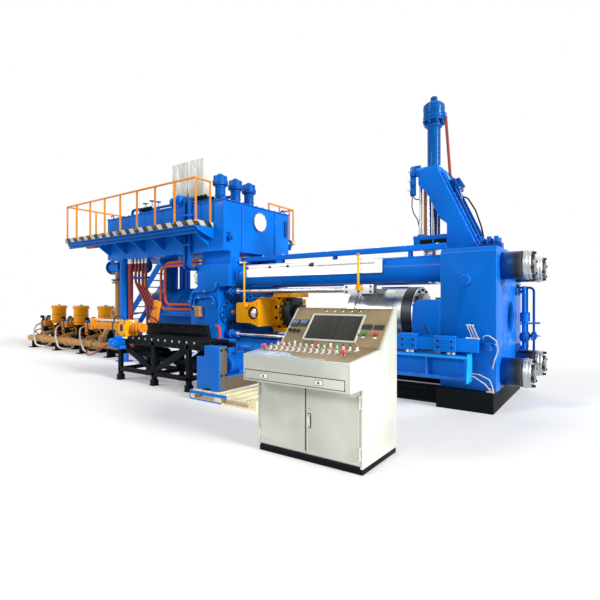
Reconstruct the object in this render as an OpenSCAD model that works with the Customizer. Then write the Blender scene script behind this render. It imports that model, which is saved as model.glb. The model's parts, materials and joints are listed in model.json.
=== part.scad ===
// Horizontal hydraulic extrusion press with its oil tank, walkway, pump row,
// billet rack, loader base and control desk. Millimetres, floor at z = 0,
// press axis along X with the exit end on the plus side.

/* [Press frame] */
// Height of the press axis above the floor
axis_z = 1190; // [1150:5:1230]
// Spacing of the tie rods across the press
rod_dy = 1110; // [1080:5:1150]
// Spacing of the tie rods from lower to upper
rod_dz = 1400; // [1380:5:1420]
// Outside diameter of the sleeves between the platens
sleeve_d = 390; // [340:5:400]
// Outside diameter of the tie rod nuts
nut_d = 370; // [320:5:390]
// Length of the nuts outside the platens
nut_len = 350; // [250:10:400]
// Diameter of the tie rod ends seen in the nuts
rod_d = 240; // [180:5:260]
// Thickness of the front platen along the press
platen_t = 710; // [600:10:760]
// Width of both platens across the press
platen_w = 1840; // [1800:10:1900]
// Distance between the two platens
daylight = 3970; // [3950:10:4100]
// Height of the black bases under the platens
base_h = 265; // [220:5:270]
// Diameter of the anchor bolt holes in the front base
anchor_d = 42; // [30:1:46]
// Top of the platens above the floor
platen_top = 2130; // [2115:5:2150]
// Diameter of the exit bore in the front platen
exit_d = 430; // [300:10:460]

/* [Main cylinder and ram] */
// Diameter of the main ram
ram_d = 520; // [440:10:560]
// Outside diameter of the main cylinder
main_cyl_d = 1000; // [900:10:1040]
// Length of the main cylinder behind the platen
main_cyl_len = 2050; // [1950:10:2150]
// Working stroke of the crosshead
stroke = 1070; // [800:10:1070]
// Diameter of the return rods
return_rod_d = 70; // [50:5:80]
// Distance of the return rods from the axis
return_y = 650; // [640:5:660]
// Diameter of the stem
stem_d = 180; // [140:5:190]
// Length of the stem in front of its holder
stem_len = 1290; // [1100:10:1300]
// Diameter of the crosshead body
crosshead_d = 740; // [680:10:750]
// Half width of the crosshead over its ears
ear_y = 770; // [750:5:775]
// Radial clearance of rams and rods in their bores
run_clear = 0.5; // [0.4:0.1:1.5]

/* [Container and die] */
// Diameter of the container drum
drum_d = 860; // [800:10:880]
// Overall length of the container
container_len = 1210; // [1150:10:1215]
// Bore of the container
container_bore = 200; // [195:1:230]
// Diameter of the four container rods
container_rod_d = 64; // [40:2:70]
// Distance of the container rods from the axis
container_rod_y = 720; // [715:5:725]
// Height of the container rods over the axis
container_rod_z = 410; // [405:1:415]
// Thickness of the die stack on the front platen
die_t = 290; // [200:10:290]
// Free way between container and die stack
shear_gap = 220; // [215:1:240]

/* [Die shear] */
// Half distance between the gallows cheeks
gallows_y = 330; // [320:5:350]
// Thickness of the gallows cheeks
gallows_t = 60; // [30:5:80]
// Diameter of the shear cylinder barrel
shear_cyl_d = 200; // [170:5:240]
// Diameter of the shear cylinder head
shear_head_d = 326; // [280:2:360]
// Diameter of the shear piston rod
shear_rod_d = 100; // [70:5:120]
// Stroke of the shear
shear_stroke = 600; // [400:10:610]
// Thickness of the shear blade
blade_t = 90; // [60:5:100]

/* [Oil tank and walkway] */
// Length of the oil tank
tank_len = 3850; // [3700:10:3850]
// Width of the oil tank
tank_w = 2020; // [1960:10:2040]
// Height of the oil tank
tank_h = 950; // [900:10:1000]
// Underside of the oil tank above the floor
tank_z = 2360; // [2345:5:2380]
// Wall thickness of the oil tank
tank_wall = 10; // [8:1:20]
// Top of the walkway above the floor
deck_z = 2870; // [2850:5:2890]
// Thickness of the walkway decks
deck_t = 80; // [60:5:90]
// Width of the front walkway
front_deck_w = 460; // [420:10:500]
// Width of the rear walkway
rear_deck_w = 1040; // [1000:10:1200]
// Height of the hand rail over the deck
rail_h = 805; // [750:5:900]
// Diameter of the hand rail pipe
rail_d = 40; // [30:2:50]
// Number of steps of the stair
steps = 13; // [11:1:15]
// Width of the stair
stair_w = 590; // [500:10:620]

/* [Pump row] */
// Distance between two pumps
pump_pitch = 1315; // [1250:5:1320]
// Diameter of the suction canisters
canister_d = 400; // [340:10:420]
// Height of the suction canisters
canister_h = 510; // [440:10:560]
// Diameter of the pump motors
motor_d = 520; // [440:10:560]
// Diameter of the suction pipes
suction_d = 130; // [100:5:140]
// Diameter of the suction header
header_d = 260; // [220:5:270]

/* [Billet rack and loader] */
// Length of the billet rack
rack_len = 2240; // [2100:10:2300]
// Depth of the billet rack
rack_depth = 650; // [600:10:700]
// Front height of the billet rack
rack_h = 740; // [680:10:780]
// Profile width of the rack frame
rack_bar = 70; // [50:5:80]
// Diameter of the pusher cylinder
pusher_d = 180; // [150:5:200]
// Stroke of the billet pusher
pusher_stroke = 300; // [200:10:300]
// Height of the loader pallet
pallet_h = 130; // [110:5:150]
// Wall thickness of the loader base
loader_wall = 150; // [100:5:170]

/* [Control desk] */
// Width of the control desk
desk_w = 1115; // [1000:5:1200]
// Height of the control desk
desk_h = 1350; // [1320:5:1380]
// Wall thickness of the desk cabinet
desk_wall = 20; // [12:1:24]
// Outside diameter of the door hinge barrels
hinge_d = 18; // [16:1:22]
// Gap around doors and drawer
door_gap = 5; // [5:0.5:8]

/* [Hidden] */
$fn = 64;
anchor_x = 280;
anchor_y = 983;
front_x0 = 25 - platen_t / 2;
front_x1 = 25 + platen_t / 2;
boss_x = front_x0 - daylight;
boss_t = 865;
mid_x1 = boss_x - 270;
mid_x0 = mid_x1 - 785;
boss_in = rod_dz / 2 - sleeve_d / 2 - 2;
gland_d = min(168, 2 * (boss_in - 6 - container_rod_z) - 6);
rod_y = rod_dy / 2;
rod_z1 = axis_z + rod_dz / 2;
rod_z0 = axis_z - rod_dz / 2;
ch_x0 = boss_x + 50;
ch_x1 = ch_x0 + 700;
holder_x1 = ch_x1 + 150;
ear_h = 190;
pocket_x = ch_x0 + 430;
pocket_d = 190;
die_x = front_x0 - die_t;
con_x1 = die_x - shear_gap;
con_x0 = con_x1 - container_len;
lug_x0 = con_x0 + 140;
lug_x1 = lug_x0 + 520;
board_y = rod_y + sleeve_d / 2 + 25;
pointer_y = board_y + 45;
shear_x = die_x - 100;
gal_z = 3380;
tank_x1 = boss_x - 40;
tank_x0 = tank_x1 - tank_len;
tank_y = tank_w / 2;
tank_top = tank_z + tank_h;
deck_x0 = tank_x0 - 1050;
deck_x1 = tank_x1 - 280;
stair_run = deck_z;
stair_y0 = tank_y + 420;
pump_x = [for (i = [0:2]) -12754 + i * pump_pitch];
header_y = -670;
header_z = tank_z - 140;
riser_x = tank_x0 - 120;
manifold_z = 275;
hose_y = -842;
leg_x = tank_x0 + 536;
leg_y = tank_y - 90;
stand_x = leg_x + 674;
cooler_x = tank_x1 - 1914;
slide_y = platen_w / 2 + 290;
filter_x = tank_x1 - 264;
neck_r = crosshead_d / 2 - 80;
bed_w = 1040;
bed_y0 = -370;
bed_y1 = 1200;
bed_h = 170;
pump_z = 470;
pump_face = -120;
canister_z = pump_z + 210;
rack_x0 = -5720;
rack_y0 = -2320;
pusher_y = rack_y0 + 150;
pusher_z = rack_h + 194;
loader_x0 = rack_x0 + rack_len + 70;
loader_x1 = loader_x0 + 470;
pallet_x0 = loader_x0 - 30;
desk_x0 = -1213;
desk_x1 = desk_x0 + desk_w;
desk_y0 = -3870;
desk_yb = -2959;
cab_y0 = -3664;

module box(x0, x1, y0, y1, z0, z1) translate([x0, y0, z0]) cube([x1 - x0, y1 - y0, z1 - z0]);
module bar_x(x0, x1, d, y, z) translate([x0, y, z]) rotate([0, 90, 0]) cylinder(h = x1 - x0, d = d);
module bar_y(y0, y1, d, x, z) translate([x, y0, z]) rotate([-90, 0, 0]) cylinder(h = y1 - y0, d = d);
module bar_z(z0, z1, d, x, y) translate([x, y, z0]) cylinder(h = z1 - z0, d = d);
module plate_xz(y0, y1, pts)
  translate([0, y1, 0]) rotate([90, 0, 0]) linear_extrude(height = y1 - y0) polygon(pts);
module plate_yz(x0, x1, pts)
  translate([x0, 0, 0]) rotate([90, 0, 90]) linear_extrude(height = x1 - x0) polygon(pts);

module strut(a, b, d) let (v = b - a) translate(a)
  rotate([0, acos(v[2] / norm(v)), atan2(v[1], v[0])]) cylinder(h = norm(v), d = d);
module lathe_x(x, side) translate([x, 0, 0]) rotate([0, 90 * side, 0]) rotate_extrude() children();
function finned(r, depth, n) = [for (i = [0:4 * n - 1])
  let (a = 90 * i / n, q = i % 4 < 2 ? r : r - depth) [q * cos(a), q * sin(a)]];
function unit(v) = v / norm(v);
function turn(a, b, c, t) = a * (1 - t) * (1 - t) + b * 2 * t * (1 - t) + c * t * t;
function rounded(p, r, n) = [p[0], for (i = [1:len(p) - 2]) for (k = [0:n])
  turn(p[i] + unit(p[i - 1] - p[i]) * r, p[i], p[i] + unit(p[i + 1] - p[i]) * r, k / n),
  p[len(p) - 1]];
function along(p, i) = unit((i < len(p) - 1 ? unit(p[i + 1] - p[i]) : [0, 0, 0])
  + (i > 0 ? unit(p[i] - p[i - 1]) : [0, 0, 0]));
function across(t) = unit(cross(t, abs(t[2]) < 0.9 ? [0, 0, 1] : [1, 0, 0]));
function squared(n, t) = unit(n - t * (n * t));
function normals(p) = [for (i = 0, n = across(along(p, 0)); i < len(p);
  i = i + 1, n = i < len(p) ? squared(n, along(p, i)) : n) n];
module tube(pts, d, r = 120, k = 8) {
  p = rounded(pts, r, 4);
  nn = normals(p);
  n = len(p);
  v = [for (i = [0:n - 1]) for (j = [0:k - 1]) let (t = along(p, i), a = 360 * j / k)
    p[i] + d / 2 * (cos(a) * nn[i] + sin(a) * cross(t, nn[i]))];
  polyhedron(v, concat([[for (j = [0:k - 1]) j]],
    [for (i = [0:n - 2]) for (j = [0:k - 1]) let (a = i * k + j, b = i * k + (j + 1) % k) [a, a + k, b]],
    [for (i = [0:n - 2]) for (j = [0:k - 1]) let (a = i * k + j, b = i * k + (j + 1) % k) [b, a + k, b + k]],
    [[for (j = [k - 1:-1:0]) (n - 1) * k + j]]));
}

module press_bases() color([0.05, 0.05, 0.06]) {
  difference() {
    box(-360, 360, -1010, 1010, 0, base_h);
    for (x = [-anchor_x, anchor_x]) for (y = [-anchor_y, anchor_y]) bar_z(-1, base_h + 1, anchor_d, x, y);
  }
  box(mid_x0 - 30, boss_x + 50, -1010, 1010, 0, base_h);
}

module bed_beams() color([0.06, 0.06, 0.08]) for (s = [-1, 1])
  plate_yz(boss_x + 50, -360, [[s * 700 - 110, 0], [s * 700 + 110, 0], [s * 700 + 110, 30],
    [s * 700 + 20, 30], [s * 700 + 20, 190], [s * 700 + 110, 190], [s * 700 + 110, 220],
    [s * 700 - 110, 220], [s * 700 - 110, 190], [s * 700 - 20, 190], [s * 700 - 20, 30],
    [s * 700 - 110, 30]]);

module front_platen() color([0.02, 0.22, 0.62]) difference() {
  union() {
    plate_yz(front_x0, front_x1, [for (s = [-1, 1]) for (q = s < 0 ? [[0, 60], [60, 0]] : [[60, 0], [0, 60]])
        [s * (platen_w / 2 - q[0]), platen_top - q[1]],
      [platen_w / 2, base_h], [-platen_w / 2, base_h]]);
    for (s = [-1, 1]) scale([1, s, 1]) bar_y(platen_w / 2 - 1, platen_w / 2 + 50, 130, 0, 1700);
  }
  bar_x(front_x0 - 1, front_x1 + 1, exit_d, 0, axis_z);
}

module main_platen() color([0.02, 0.22, 0.62]) difference() {
  plate_xz(-platen_w / 2, platen_w / 2, [[boss_x, platen_top - 10], [boss_x - boss_t, platen_top - 10],
    [boss_x - boss_t, axis_z + boss_in], [mid_x0, axis_z + 400], [mid_x0, axis_z - 400],
    [boss_x - boss_t, axis_z - boss_in], [boss_x - boss_t, base_h], [boss_x, base_h],
    [boss_x, axis_z - boss_in], [mid_x1, axis_z - boss_in + 6], [mid_x1, axis_z + boss_in - 6],
    [boss_x, axis_z + boss_in]]);
  bar_x(mid_x0 - 1, mid_x1 + 1, ram_d + 2 * run_clear, 0, axis_z);
  for (s = [-1, 1]) {
    bar_x(mid_x0 - 1, mid_x1 + 1, return_rod_d + 2 * run_clear, s * return_y, axis_z);
    for (t = [-1, 1]) bar_x(mid_x1 - 520, mid_x1 + 1, container_rod_d + 2 * run_clear,
      s * container_rod_y, axis_z + t * container_rod_z);
  }
}

module tie_sleeves() color([0.02, 0.24, 0.66]) for (s = [-1, 1]) for (z = [rod_z0, rod_z1]) {
  bar_x(boss_x, front_x0, sleeve_d, s * rod_y, z);
  for (x = [boss_x, front_x0 - 45]) bar_x(x, x + 45, sleeve_d + 24, s * rod_y, z);
}

module tie_rod_nuts() color([0.12, 0.13, 0.15]) for (s = [-1, 1]) for (z = [rod_z0, rod_z1])
  translate([0, s * rod_y, z]) {
    lathe_x(front_x1, 1) nut_profile(nut_len);
    lathe_x(boss_x - boss_t, -1) nut_profile(nut_len - 60);
  }
module nut_profile(len) polygon([[0, 0], [nut_d / 2, 0], [nut_d / 2, len - 90], [nut_d / 2 - 14, len - 90],
  [nut_d / 2 - 14, len - 70], [nut_d / 2, len - 70], [nut_d / 2, len - 20], [nut_d / 2 - 20, len],
  [rod_d / 2, len], [rod_d / 2, len + 40], [0, len + 40]]);

module main_cylinder() color([0.02, 0.2, 0.55]) difference() {
  union() {
    bar_x(mid_x0 - main_cyl_len, mid_x0, main_cyl_d, 0, axis_z);
    bar_x(mid_x0 - main_cyl_len - 180, mid_x0 - main_cyl_len + 1, 620, 0, axis_z);
    bar_z(axis_z + 300, tank_z, 340, mid_x0 - main_cyl_len + 260, 0);
  }
  bar_x(mid_x0 - main_cyl_len + 120, mid_x0 + 1, ram_d + 60, 0, axis_z);
}

module return_cylinders() color([0.02, 0.22, 0.6]) for (s = [-1, 1]) difference() {
  bar_x(mid_x0 - stroke - 180, mid_x0, 220, s * return_y, axis_z);
  bar_x(mid_x0 - stroke - 100, mid_x0 + 1, return_rod_d + 40, s * return_y, axis_z);
}

module cylinder_glands() color([0.03, 0.26, 0.66]) for (s = [-1, 1]) {
  difference() {
    bar_x(mid_x1, mid_x1 + 130, 200, s * return_y, axis_z);
    bar_x(mid_x1 - 1, mid_x1 + 131, return_rod_d + 2 * run_clear, s * return_y, axis_z);
  }
  for (t = [-1, 1]) difference() {
    union() {
      bar_x(mid_x1, mid_x1 + 330, 130, s * container_rod_y, axis_z + t * container_rod_z);
      bar_x(mid_x1 + 120, mid_x1 + 180, gland_d, s * container_rod_y, axis_z + t * container_rod_z);
    }
    bar_x(mid_x1 - 1, mid_x1 + 331, container_rod_d + 2 * run_clear, s * container_rod_y,
      axis_z + t * container_rod_z);
  }
}

module main_ram() color([0.75, 0.76, 0.78]) {
  bar_x(mid_x0 - 700, ch_x0, ram_d, 0, axis_z);
  for (s = [-1, 1]) {
    bar_x(mid_x0 - stroke - 30, pocket_x + 60, return_rod_d, s * return_y, axis_z);
    bar_x(pocket_x - 60, pocket_x + 40, 130, s * return_y, axis_z);
  }
}

module moving_crosshead() color([0.93, 0.6, 0.03]) {
  difference() {
    union() {
      translate([0, 0, axis_z]) lathe_x(0, 1) polygon([[0, ch_x0], [neck_r, ch_x0], [neck_r, ch_x0 + 120],
        for (i = [1:6]) [neck_r + (crosshead_d / 2 - neck_r) * (1 - cos(15 * i)), ch_x0 + 120 + 300 * sin(15 * i)],
        [crosshead_d / 2, ch_x1], [0, ch_x1]]);
      plate_xz(-ear_y, ear_y, [for (t = [-1, 1]) for (q = t < 0 ? [0, 1, 2, 3] : [3, 2, 1, 0])
        [ch_x0 + [0, 30, 360, 550][q], axis_z + t * (ear_h + [-30, 0, 0, 60][q])]]);
      for (s = [-1, 1]) scale([1, 1, s]) translate([0, 0, s * axis_z])
        box(ch_x1 - 150, ch_x1 + 210, -330, 330, 290, crosshead_d / 2);
    }
    for (s = [-1, 1]) {
      scale([1, s, 1]) bar_y(ear_y - 210, ear_y + 1, pocket_d, pocket_x, axis_z);
      bar_x(ch_x0 - 1, pocket_x, return_rod_d + 2 * run_clear, s * return_y, axis_z);
    }
  }
  box(ch_x0 + 210, ch_x0 + 290, -pointer_y - 25, -ear_y, axis_z + 110, axis_z + ear_h);
  bar_z(axis_z + ear_h - 1, rod_z1 + 230, 34, ch_x0 + 250, -pointer_y);
}

module extrusion_stem() color([0.2, 0.2, 0.22]) {
  box(ch_x1, holder_x1, -215, 215, axis_z - 215, axis_z + 215);
  bar_x(holder_x1 - 1, holder_x1 + 120, stem_d + 120, 0, axis_z);
  bar_x(holder_x1 + 119, holder_x1 + stem_len, stem_d, 0, axis_z);
}

module container_drum() color([0.55, 0.57, 0.58]) difference() {
  union() {
    bar_x(con_x0 + 150, con_x1 - 260, drum_d, 0, axis_z);
    for (s = [-1, 1]) for (t = [-1, 1]) {
      scale([1, s, 1]) box(lug_x0, lug_x1, container_rod_y - 60, container_rod_y + 60,
        axis_z + t * container_rod_z - 70, axis_z + t * container_rod_z + 70);
      scale([1, s, 1]) box(lug_x0 + 60, lug_x1 - 60, 120, container_rod_y - 59,
        axis_z + t * (container_rod_z - 30) - 40, axis_z + t * (container_rod_z - 30) + 40);
    }
  }
  bar_x(con_x0, con_x1, container_bore, 0, axis_z);
}

module container_rings() color([0.13, 0.13, 0.14]) difference() {
  union() {
    bar_x(con_x0, con_x0 + 150, drum_d + 40, 0, axis_z);
    bar_x(con_x1 - 260, con_x1 - 60, drum_d + 40, 0, axis_z);
    bar_x(con_x1 - 61, con_x1, drum_d - 180, 0, axis_z);
  }
  bar_x(con_x0 - 1, con_x1 + 1, container_bore, 0, axis_z);
}

module container_rods() color([0.82, 0.83, 0.85]) for (s = [-1, 1]) for (t = [-1, 1])
  bar_x(mid_x1 - 280, lug_x0, container_rod_d, s * container_rod_y, axis_z + t * container_rod_z);

module container_pointer() color([0.93, 0.5, 0.03]) {
  box(lug_x0 + 240, lug_x0 + 320, -pointer_y - 25, -container_rod_y - 60,
    axis_z + container_rod_z - 20, axis_z + container_rod_z + 60);
  bar_z(axis_z + container_rod_z + 59, rod_z1 + 230, 34, lug_x0 + 280, -pointer_y);
}

module position_board() color([0.9, 0.9, 0.88]) difference() {
  union() {
    box(boss_x + 316, con_x1 - 414, -board_y, -board_y + 12, rod_z1 - 40, rod_z1 + 180);
    for (x = [boss_x + 500, -2600, con_x1 - 600])
      box(x, x + 60, -board_y + 11, -rod_y - sleeve_d / 4, rod_z1 - 30, rod_z1 + 60);
  }
  bar_x(boss_x, front_x0, sleeve_d + 0.4, -rod_y, rod_z1);
}

module hose_tray() color([0.25, 0.5, 0.85]) difference() {
  union() {
    box(boss_x + 60, front_x0 - 5, -rod_y - 95, -rod_y + 15, rod_z1 + 270, rod_z1 + 282);
    box(boss_x + 60, front_x0 - 5, -rod_y - 95, -rod_y - 83, rod_z1 + 270, rod_z1 + 350);
    for (x = [boss_x + 200, -3300, -2200, -900])
      box(x, x + 50, -rod_y - 80, -rod_y, rod_z1 + 100, rod_z1 + 271);
  }
  bar_x(boss_x, front_x0, sleeve_d + 0.4, -rod_y, rod_z1);
}

module die_cheeks() color([0.03, 0.25, 0.64]) for (s = [-1, 1]) scale([1, s, 1])
  plate_xz(450, platen_w / 2, [[front_x0, 800], [die_x, 800], [die_x - 110, 860], [die_x - 110, 1380],
    [die_x, 1440], [front_x0, 1440]]);

module die_stack() color([0.16, 0.16, 0.17]) difference() {
  union() {
    box(die_x + 30, front_x0, -340, 340, axis_z - 280, axis_z + 280);
    bar_x(die_x, die_x + 31, 420, 0, axis_z);
  }
  bar_x(die_x - 1, front_x0 + 1, 150, 0, axis_z);
}

module front_slide() color([0.03, 0.27, 0.68]) {
  box(-1900, 220, -slide_y, -slide_y + 80, 783, 952);
  for (x = [-1700, -900, -120]) bar_y(-slide_y + 10, -slide_y + 70, 64, x, 752);
  difference() {
    box(-1900, 100, -slide_y - 20, -slide_y + 100, 430, 720);
    for (x = [-1880, -1390, -900, -410]) box(x, x + 470, -slide_y - 30, -slide_y + 70, 460, 690);
  }
  box(-200, -40, -slide_y + 99, -platen_w / 2, 470, 680);
  difference() {
    box(-1500, -1340, -slide_y + 99, -rod_y - 60, 470, 640);
    bar_x(-1600, -1200, sleeve_d + 0.6, -rod_y, rod_z0);
  }
}

module shear_gallows() color([0.03, 0.25, 0.64]) {
  for (s = [-1, 1]) scale([1, s, 1]) plate_xz(gallows_y, gallows_y + gallows_t, [[54, platen_top],
    [-530, gal_z], [-835, gal_z], [-835, 3180], [-714, 3060], [-496, 2630], [-405, 2560],
    [-405, platen_top]]);
  plate_xz(-gallows_y - 0.5, gallows_y + 0.5, [[54, platen_top], [-530, gal_z], [-590, gal_z],
    [-10, platen_top]]);
  difference() {
    box(-900, -530, -gallows_y - gallows_t, gallows_y + gallows_t, gal_z - 1, gal_z + 60);
    bar_z(gal_z - 2, gal_z + 61, shear_rod_d + 2 * run_clear, shear_x, 0);
  }
}

module shear_cylinder() color([0.02, 0.2, 0.55]) difference() {
  translate([shear_x, 0, 0]) rotate_extrude() polygon([[0, gal_z + 60], [shear_cyl_d / 2 + 45, gal_z + 60],
    [shear_cyl_d / 2 + 45, gal_z + 100], [shear_cyl_d / 2, gal_z + 130], [shear_cyl_d / 2, 4150],
    [shear_cyl_d / 2 + 18, 4170], [shear_cyl_d / 2 + 18, 4240], [shear_head_d / 2, 4240],
    [shear_head_d / 2, 4490], [shear_head_d / 2 - 40, 4530], [55, 4530], [55, 4610], [40, 4636], [0, 4636]]);
  bar_z(gal_z + 59, 4300, shear_rod_d + 20, shear_x, 0);
}

module shear_guide() color([0.03, 0.27, 0.68]) difference() {
  union() {
    box(-930, -405, -gallows_y, gallows_y, platen_top + 140, platen_top + 280);
    box(-405.5, front_x0, -gallows_y, gallows_y, platen_top, platen_top + 280);
  }
  bar_z(platen_top, platen_top + 290, shear_rod_d + 2 * run_clear, shear_x, 0);
  for (s = [-1, 1]) bar_z(platen_top, platen_top + 290, 60 + 2 * run_clear, shear_x, s * 220);
}

module shear_ram() color([0.7, 0.71, 0.73]) {
  bar_z(platen_top + 119, gal_z + 700, shear_rod_d, shear_x, 0);
  for (s = [-1, 1]) bar_z(platen_top + 119, 3130, 60, shear_x, s * 220);
  box(shear_x - 70, shear_x + 70, -280, 280, platen_top - 10, platen_top + 120);
  plate_xz(-250, 250, [[shear_x - blade_t / 2, platen_top - 9], [shear_x - blade_t / 2, 1720],
    [shear_x + blade_t / 2 - 20, 1690], [shear_x + blade_t / 2, 1690], [shear_x + blade_t / 2, platen_top - 9]]);
}

module exit_pipes() color([0.04, 0.2, 0.5]) for (y = [platen_w / 2 - 450, platen_w / 2 - 240]) {
  bar_z(680, 1640, 60, front_x1 + 110, y);
  bar_z(1100, 1240, 110, front_x1 + 110, y);
  for (z = [700, 1560]) bar_x(front_x1, front_x1 + 110, 50, y, z);
}

module oil_tank() color([0.02, 0.24, 0.66]) difference() {
  union() {
    box(tank_x0, tank_x1, -tank_y, tank_y, tank_z, tank_top);
    bar_x(tank_x1 - 1, tank_x1 + 25, 370, 0, tank_z + 660);
    for (y = [-520, 520]) box(tank_x1 - 1, tank_x1 + 30, y - 25, y + 25, tank_z, tank_top - 30);
  }
  box(tank_x0 + tank_wall, tank_x1 - tank_wall, -tank_y + tank_wall, tank_y - tank_wall,
    tank_z + tank_wall, tank_top + 1);
}

module tank_lid() color([0.02, 0.22, 0.6])
  box(tank_x0 - 20, tank_x1 + 30, -tank_y - 20, tank_y + 20, tank_top, tank_top + 14);

module tank_supports() color([0.02, 0.2, 0.55]) for (s = [-1, 1]) {
  bar_z(20, tank_z - 60, 190, leg_x, s * leg_y);
  translate([leg_x, s * leg_y, 0]) box(-146, 146, -140, 140, 0, 21);
  translate([leg_x, s * leg_y, 0]) box(-120, 120, -110, 90, tank_z - 61, tank_z);
  translate([0, s * 700, 0]) box(boss_x - boss_t + 40, boss_x - 40, -120, 120, platen_top - 10, tank_z);
}

module walkway_decks() color([0.03, 0.24, 0.62]) {
  box(deck_x0, deck_x1, -tank_y - front_deck_w, -tank_y, deck_z - deck_t, deck_z);
  box(deck_x0, tank_x0, -tank_y, tank_y, deck_z - deck_t, deck_z);
  box(deck_x0, deck_x1 - 300, tank_y, tank_y + rear_deck_w, deck_z - deck_t, deck_z);
  for (i = [0:5]) {
    bracket(tank_x0 + 60 + i * (tank_len - 500) / 5, -tank_y, -front_deck_w + 60);
    bracket(tank_x0 + 60 + i * (tank_len - 760) / 5, tank_y, rear_deck_w - 120);
  }
}
module bracket(x, y, w) plate_yz(x, x + 40, [[y, deck_z - deck_t + 1], [y + w, deck_z - deck_t + 1],
  [y + w, deck_z - deck_t - 60], [y, deck_z - deck_t - 330]]);

module front_rail() color([0.85, 0.42, 0.04]) {
  bar_x(deck_x0 + 30, deck_x1 - 3, rail_d, -tank_y - front_deck_w + 30, deck_z + rail_h);
  for (i = [0:8]) bar_z(deck_z, deck_z + rail_h, rail_d,
    deck_x0 + 30 + (i == 0 ? 0 : 426 + (i - 1) * (deck_x1 - deck_x0 - 459) / 7),
    -tank_y - front_deck_w + 30);
}

module rear_rail() color([0.85, 0.42, 0.04]) {
  bar_x(deck_x0 + 30, deck_x1 - 330, rail_d, tank_y + rear_deck_w - 30, deck_z + rail_h);
  for (i = [0:7]) bar_z(deck_z, deck_z + rail_h, rail_d,
    deck_x0 + 30 + i * (deck_x1 - deck_x0 - 360) / 7, tank_y + rear_deck_w - 30);
}

module end_rails() color([0.85, 0.42, 0.04]) {
  bar_y(-tank_y - front_deck_w + 60, stair_y0 - 60, rail_d, deck_x0 + 30, deck_z + rail_h);
  for (i = [1:4]) bar_z(deck_z, deck_z + rail_h, rail_d, deck_x0 + 30,
    -tank_y - front_deck_w + 60 + i * (stair_y0 + tank_y + front_deck_w - 120) / 4 - (i == 4 ? 20 : 0));
  bar_y(-tank_y - front_deck_w + 60, -tank_y - 30, rail_d, deck_x1 - 30, deck_z + rail_h);
  bar_z(deck_z, deck_z + rail_h, rail_d, deck_x1 - 30, -tank_y - 50);
  bar_y(tank_y + 30, tank_y + rear_deck_w - 60, rail_d, deck_x1 - 330, deck_z + rail_h);
  for (i = [0:2]) bar_z(deck_z, deck_z + rail_h, rail_d, deck_x1 - 330,
    tank_y + 50 + i * (rear_deck_w - 240) / 2);
  for (y = [stair_y0 - 12, stair_y0 + stair_w]) {
    strut([deck_x0 - 60, y + 6, deck_z + rail_h - 60], [deck_x0 - stair_run + 190, y + 6, rail_h + 190], rail_d);
    for (i = [0:3]) let (q = 160 + i * (stair_run - 420) / 3)
      box(deck_x0 - q - 20, deck_x0 - q + 20, y, y + 12, deck_z - q - 160, deck_z - q + rail_h);
  }
}

module stair_stringers() color([0.03, 0.25, 0.64]) for (y = [stair_y0, stair_y0 + stair_w - 30])
  plate_xz(y, y + 30, [[deck_x0, deck_z], [deck_x0, deck_z - 280], [deck_x0 - stair_run + 280, 0],
    [deck_x0 - stair_run, 0]]);

module stair_treads() color([0.04, 0.22, 0.55]) for (i = [1:steps])
  let (z = deck_z * (1 - i / (steps + 1)), x = deck_x0 - stair_run * i / (steps + 1))
  box(x - 20, x + 190, stair_y0 + 30, stair_y0 + stair_w - 30, z - 45, z - 15);

module return_filters() color([0.03, 0.22, 0.58]) for (y = [-840, -420, -20]) {
  bar_z(tank_top + 14, tank_top + 40, 300, filter_x, y);
  bar_z(tank_top + 39, tank_top + 330, 200, filter_x, y);
  bar_z(tank_top + 329, tank_top + 360, 290, filter_x, y);
  bar_z(tank_top + 359, tank_top + 500, 270, filter_x, y);
  bar_z(tank_top + 499, tank_top + 540, 120, filter_x, y);
}

module oil_coolers() color([0.72, 0.73, 0.7]) for (x = [cooler_x, cooler_x + 494])
  box(x, x + 480, -670, -420, tank_top + 14, tank_top + 1050);

module suction_header() color([0.03, 0.24, 0.6]) {
  bar_x(tank_x0 - 360, tank_x0 + 990, header_d, header_y, header_z);
  translate([tank_x0 - 360, header_y, header_z]) intersection() {
    sphere(d = header_d);
    box(-header_d, 1, -header_d, header_d, -header_d, header_d);
  }
  for (x = [tank_x0 + 190, tank_x0 + 840]) box(x, x + 60, header_y - 30, header_y + 30, header_z + 80, tank_z);
}

module valve_stand() color([0.03, 0.22, 0.58]) {
  box(stand_x, stand_x + 540, -940, -740, 60, 560);
  box(stand_x - 40, stand_x + 580, -980, -700, 0, 61);
}

module suction_pipes() color([0.72, 0.5, 0.1]) {
  difference() {
    bar_z(manifold_z, header_z, suction_d, riser_x, header_y);
    bar_x(riser_x - 200, riser_x + 200, header_d + 0.6, header_y, header_z);
  }
  bar_x(pump_x[0] - 200, riser_x, suction_d + 40, header_y, manifold_z);
  for (x = pump_x) {
    difference() {
      union() {
        strut([x, header_y, manifold_z], [x, pump_face + 60, pump_z - 30], suction_d);
        strut([x, header_y + 240, manifold_z + 65], [x, header_y + 288, manifold_z + 78], suction_d + 70);
      }
      box(x - 300, x + 300, pump_face, pump_face + 200, 0, 900);
    }
  }
  for (x = [-9400, -10700, -12000]) bar_x(x - 30, x + 30, suction_d + 130, header_y, manifold_z);
  bar_z(1840, 1890, suction_d + 110, riser_x, header_y);
}

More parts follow.
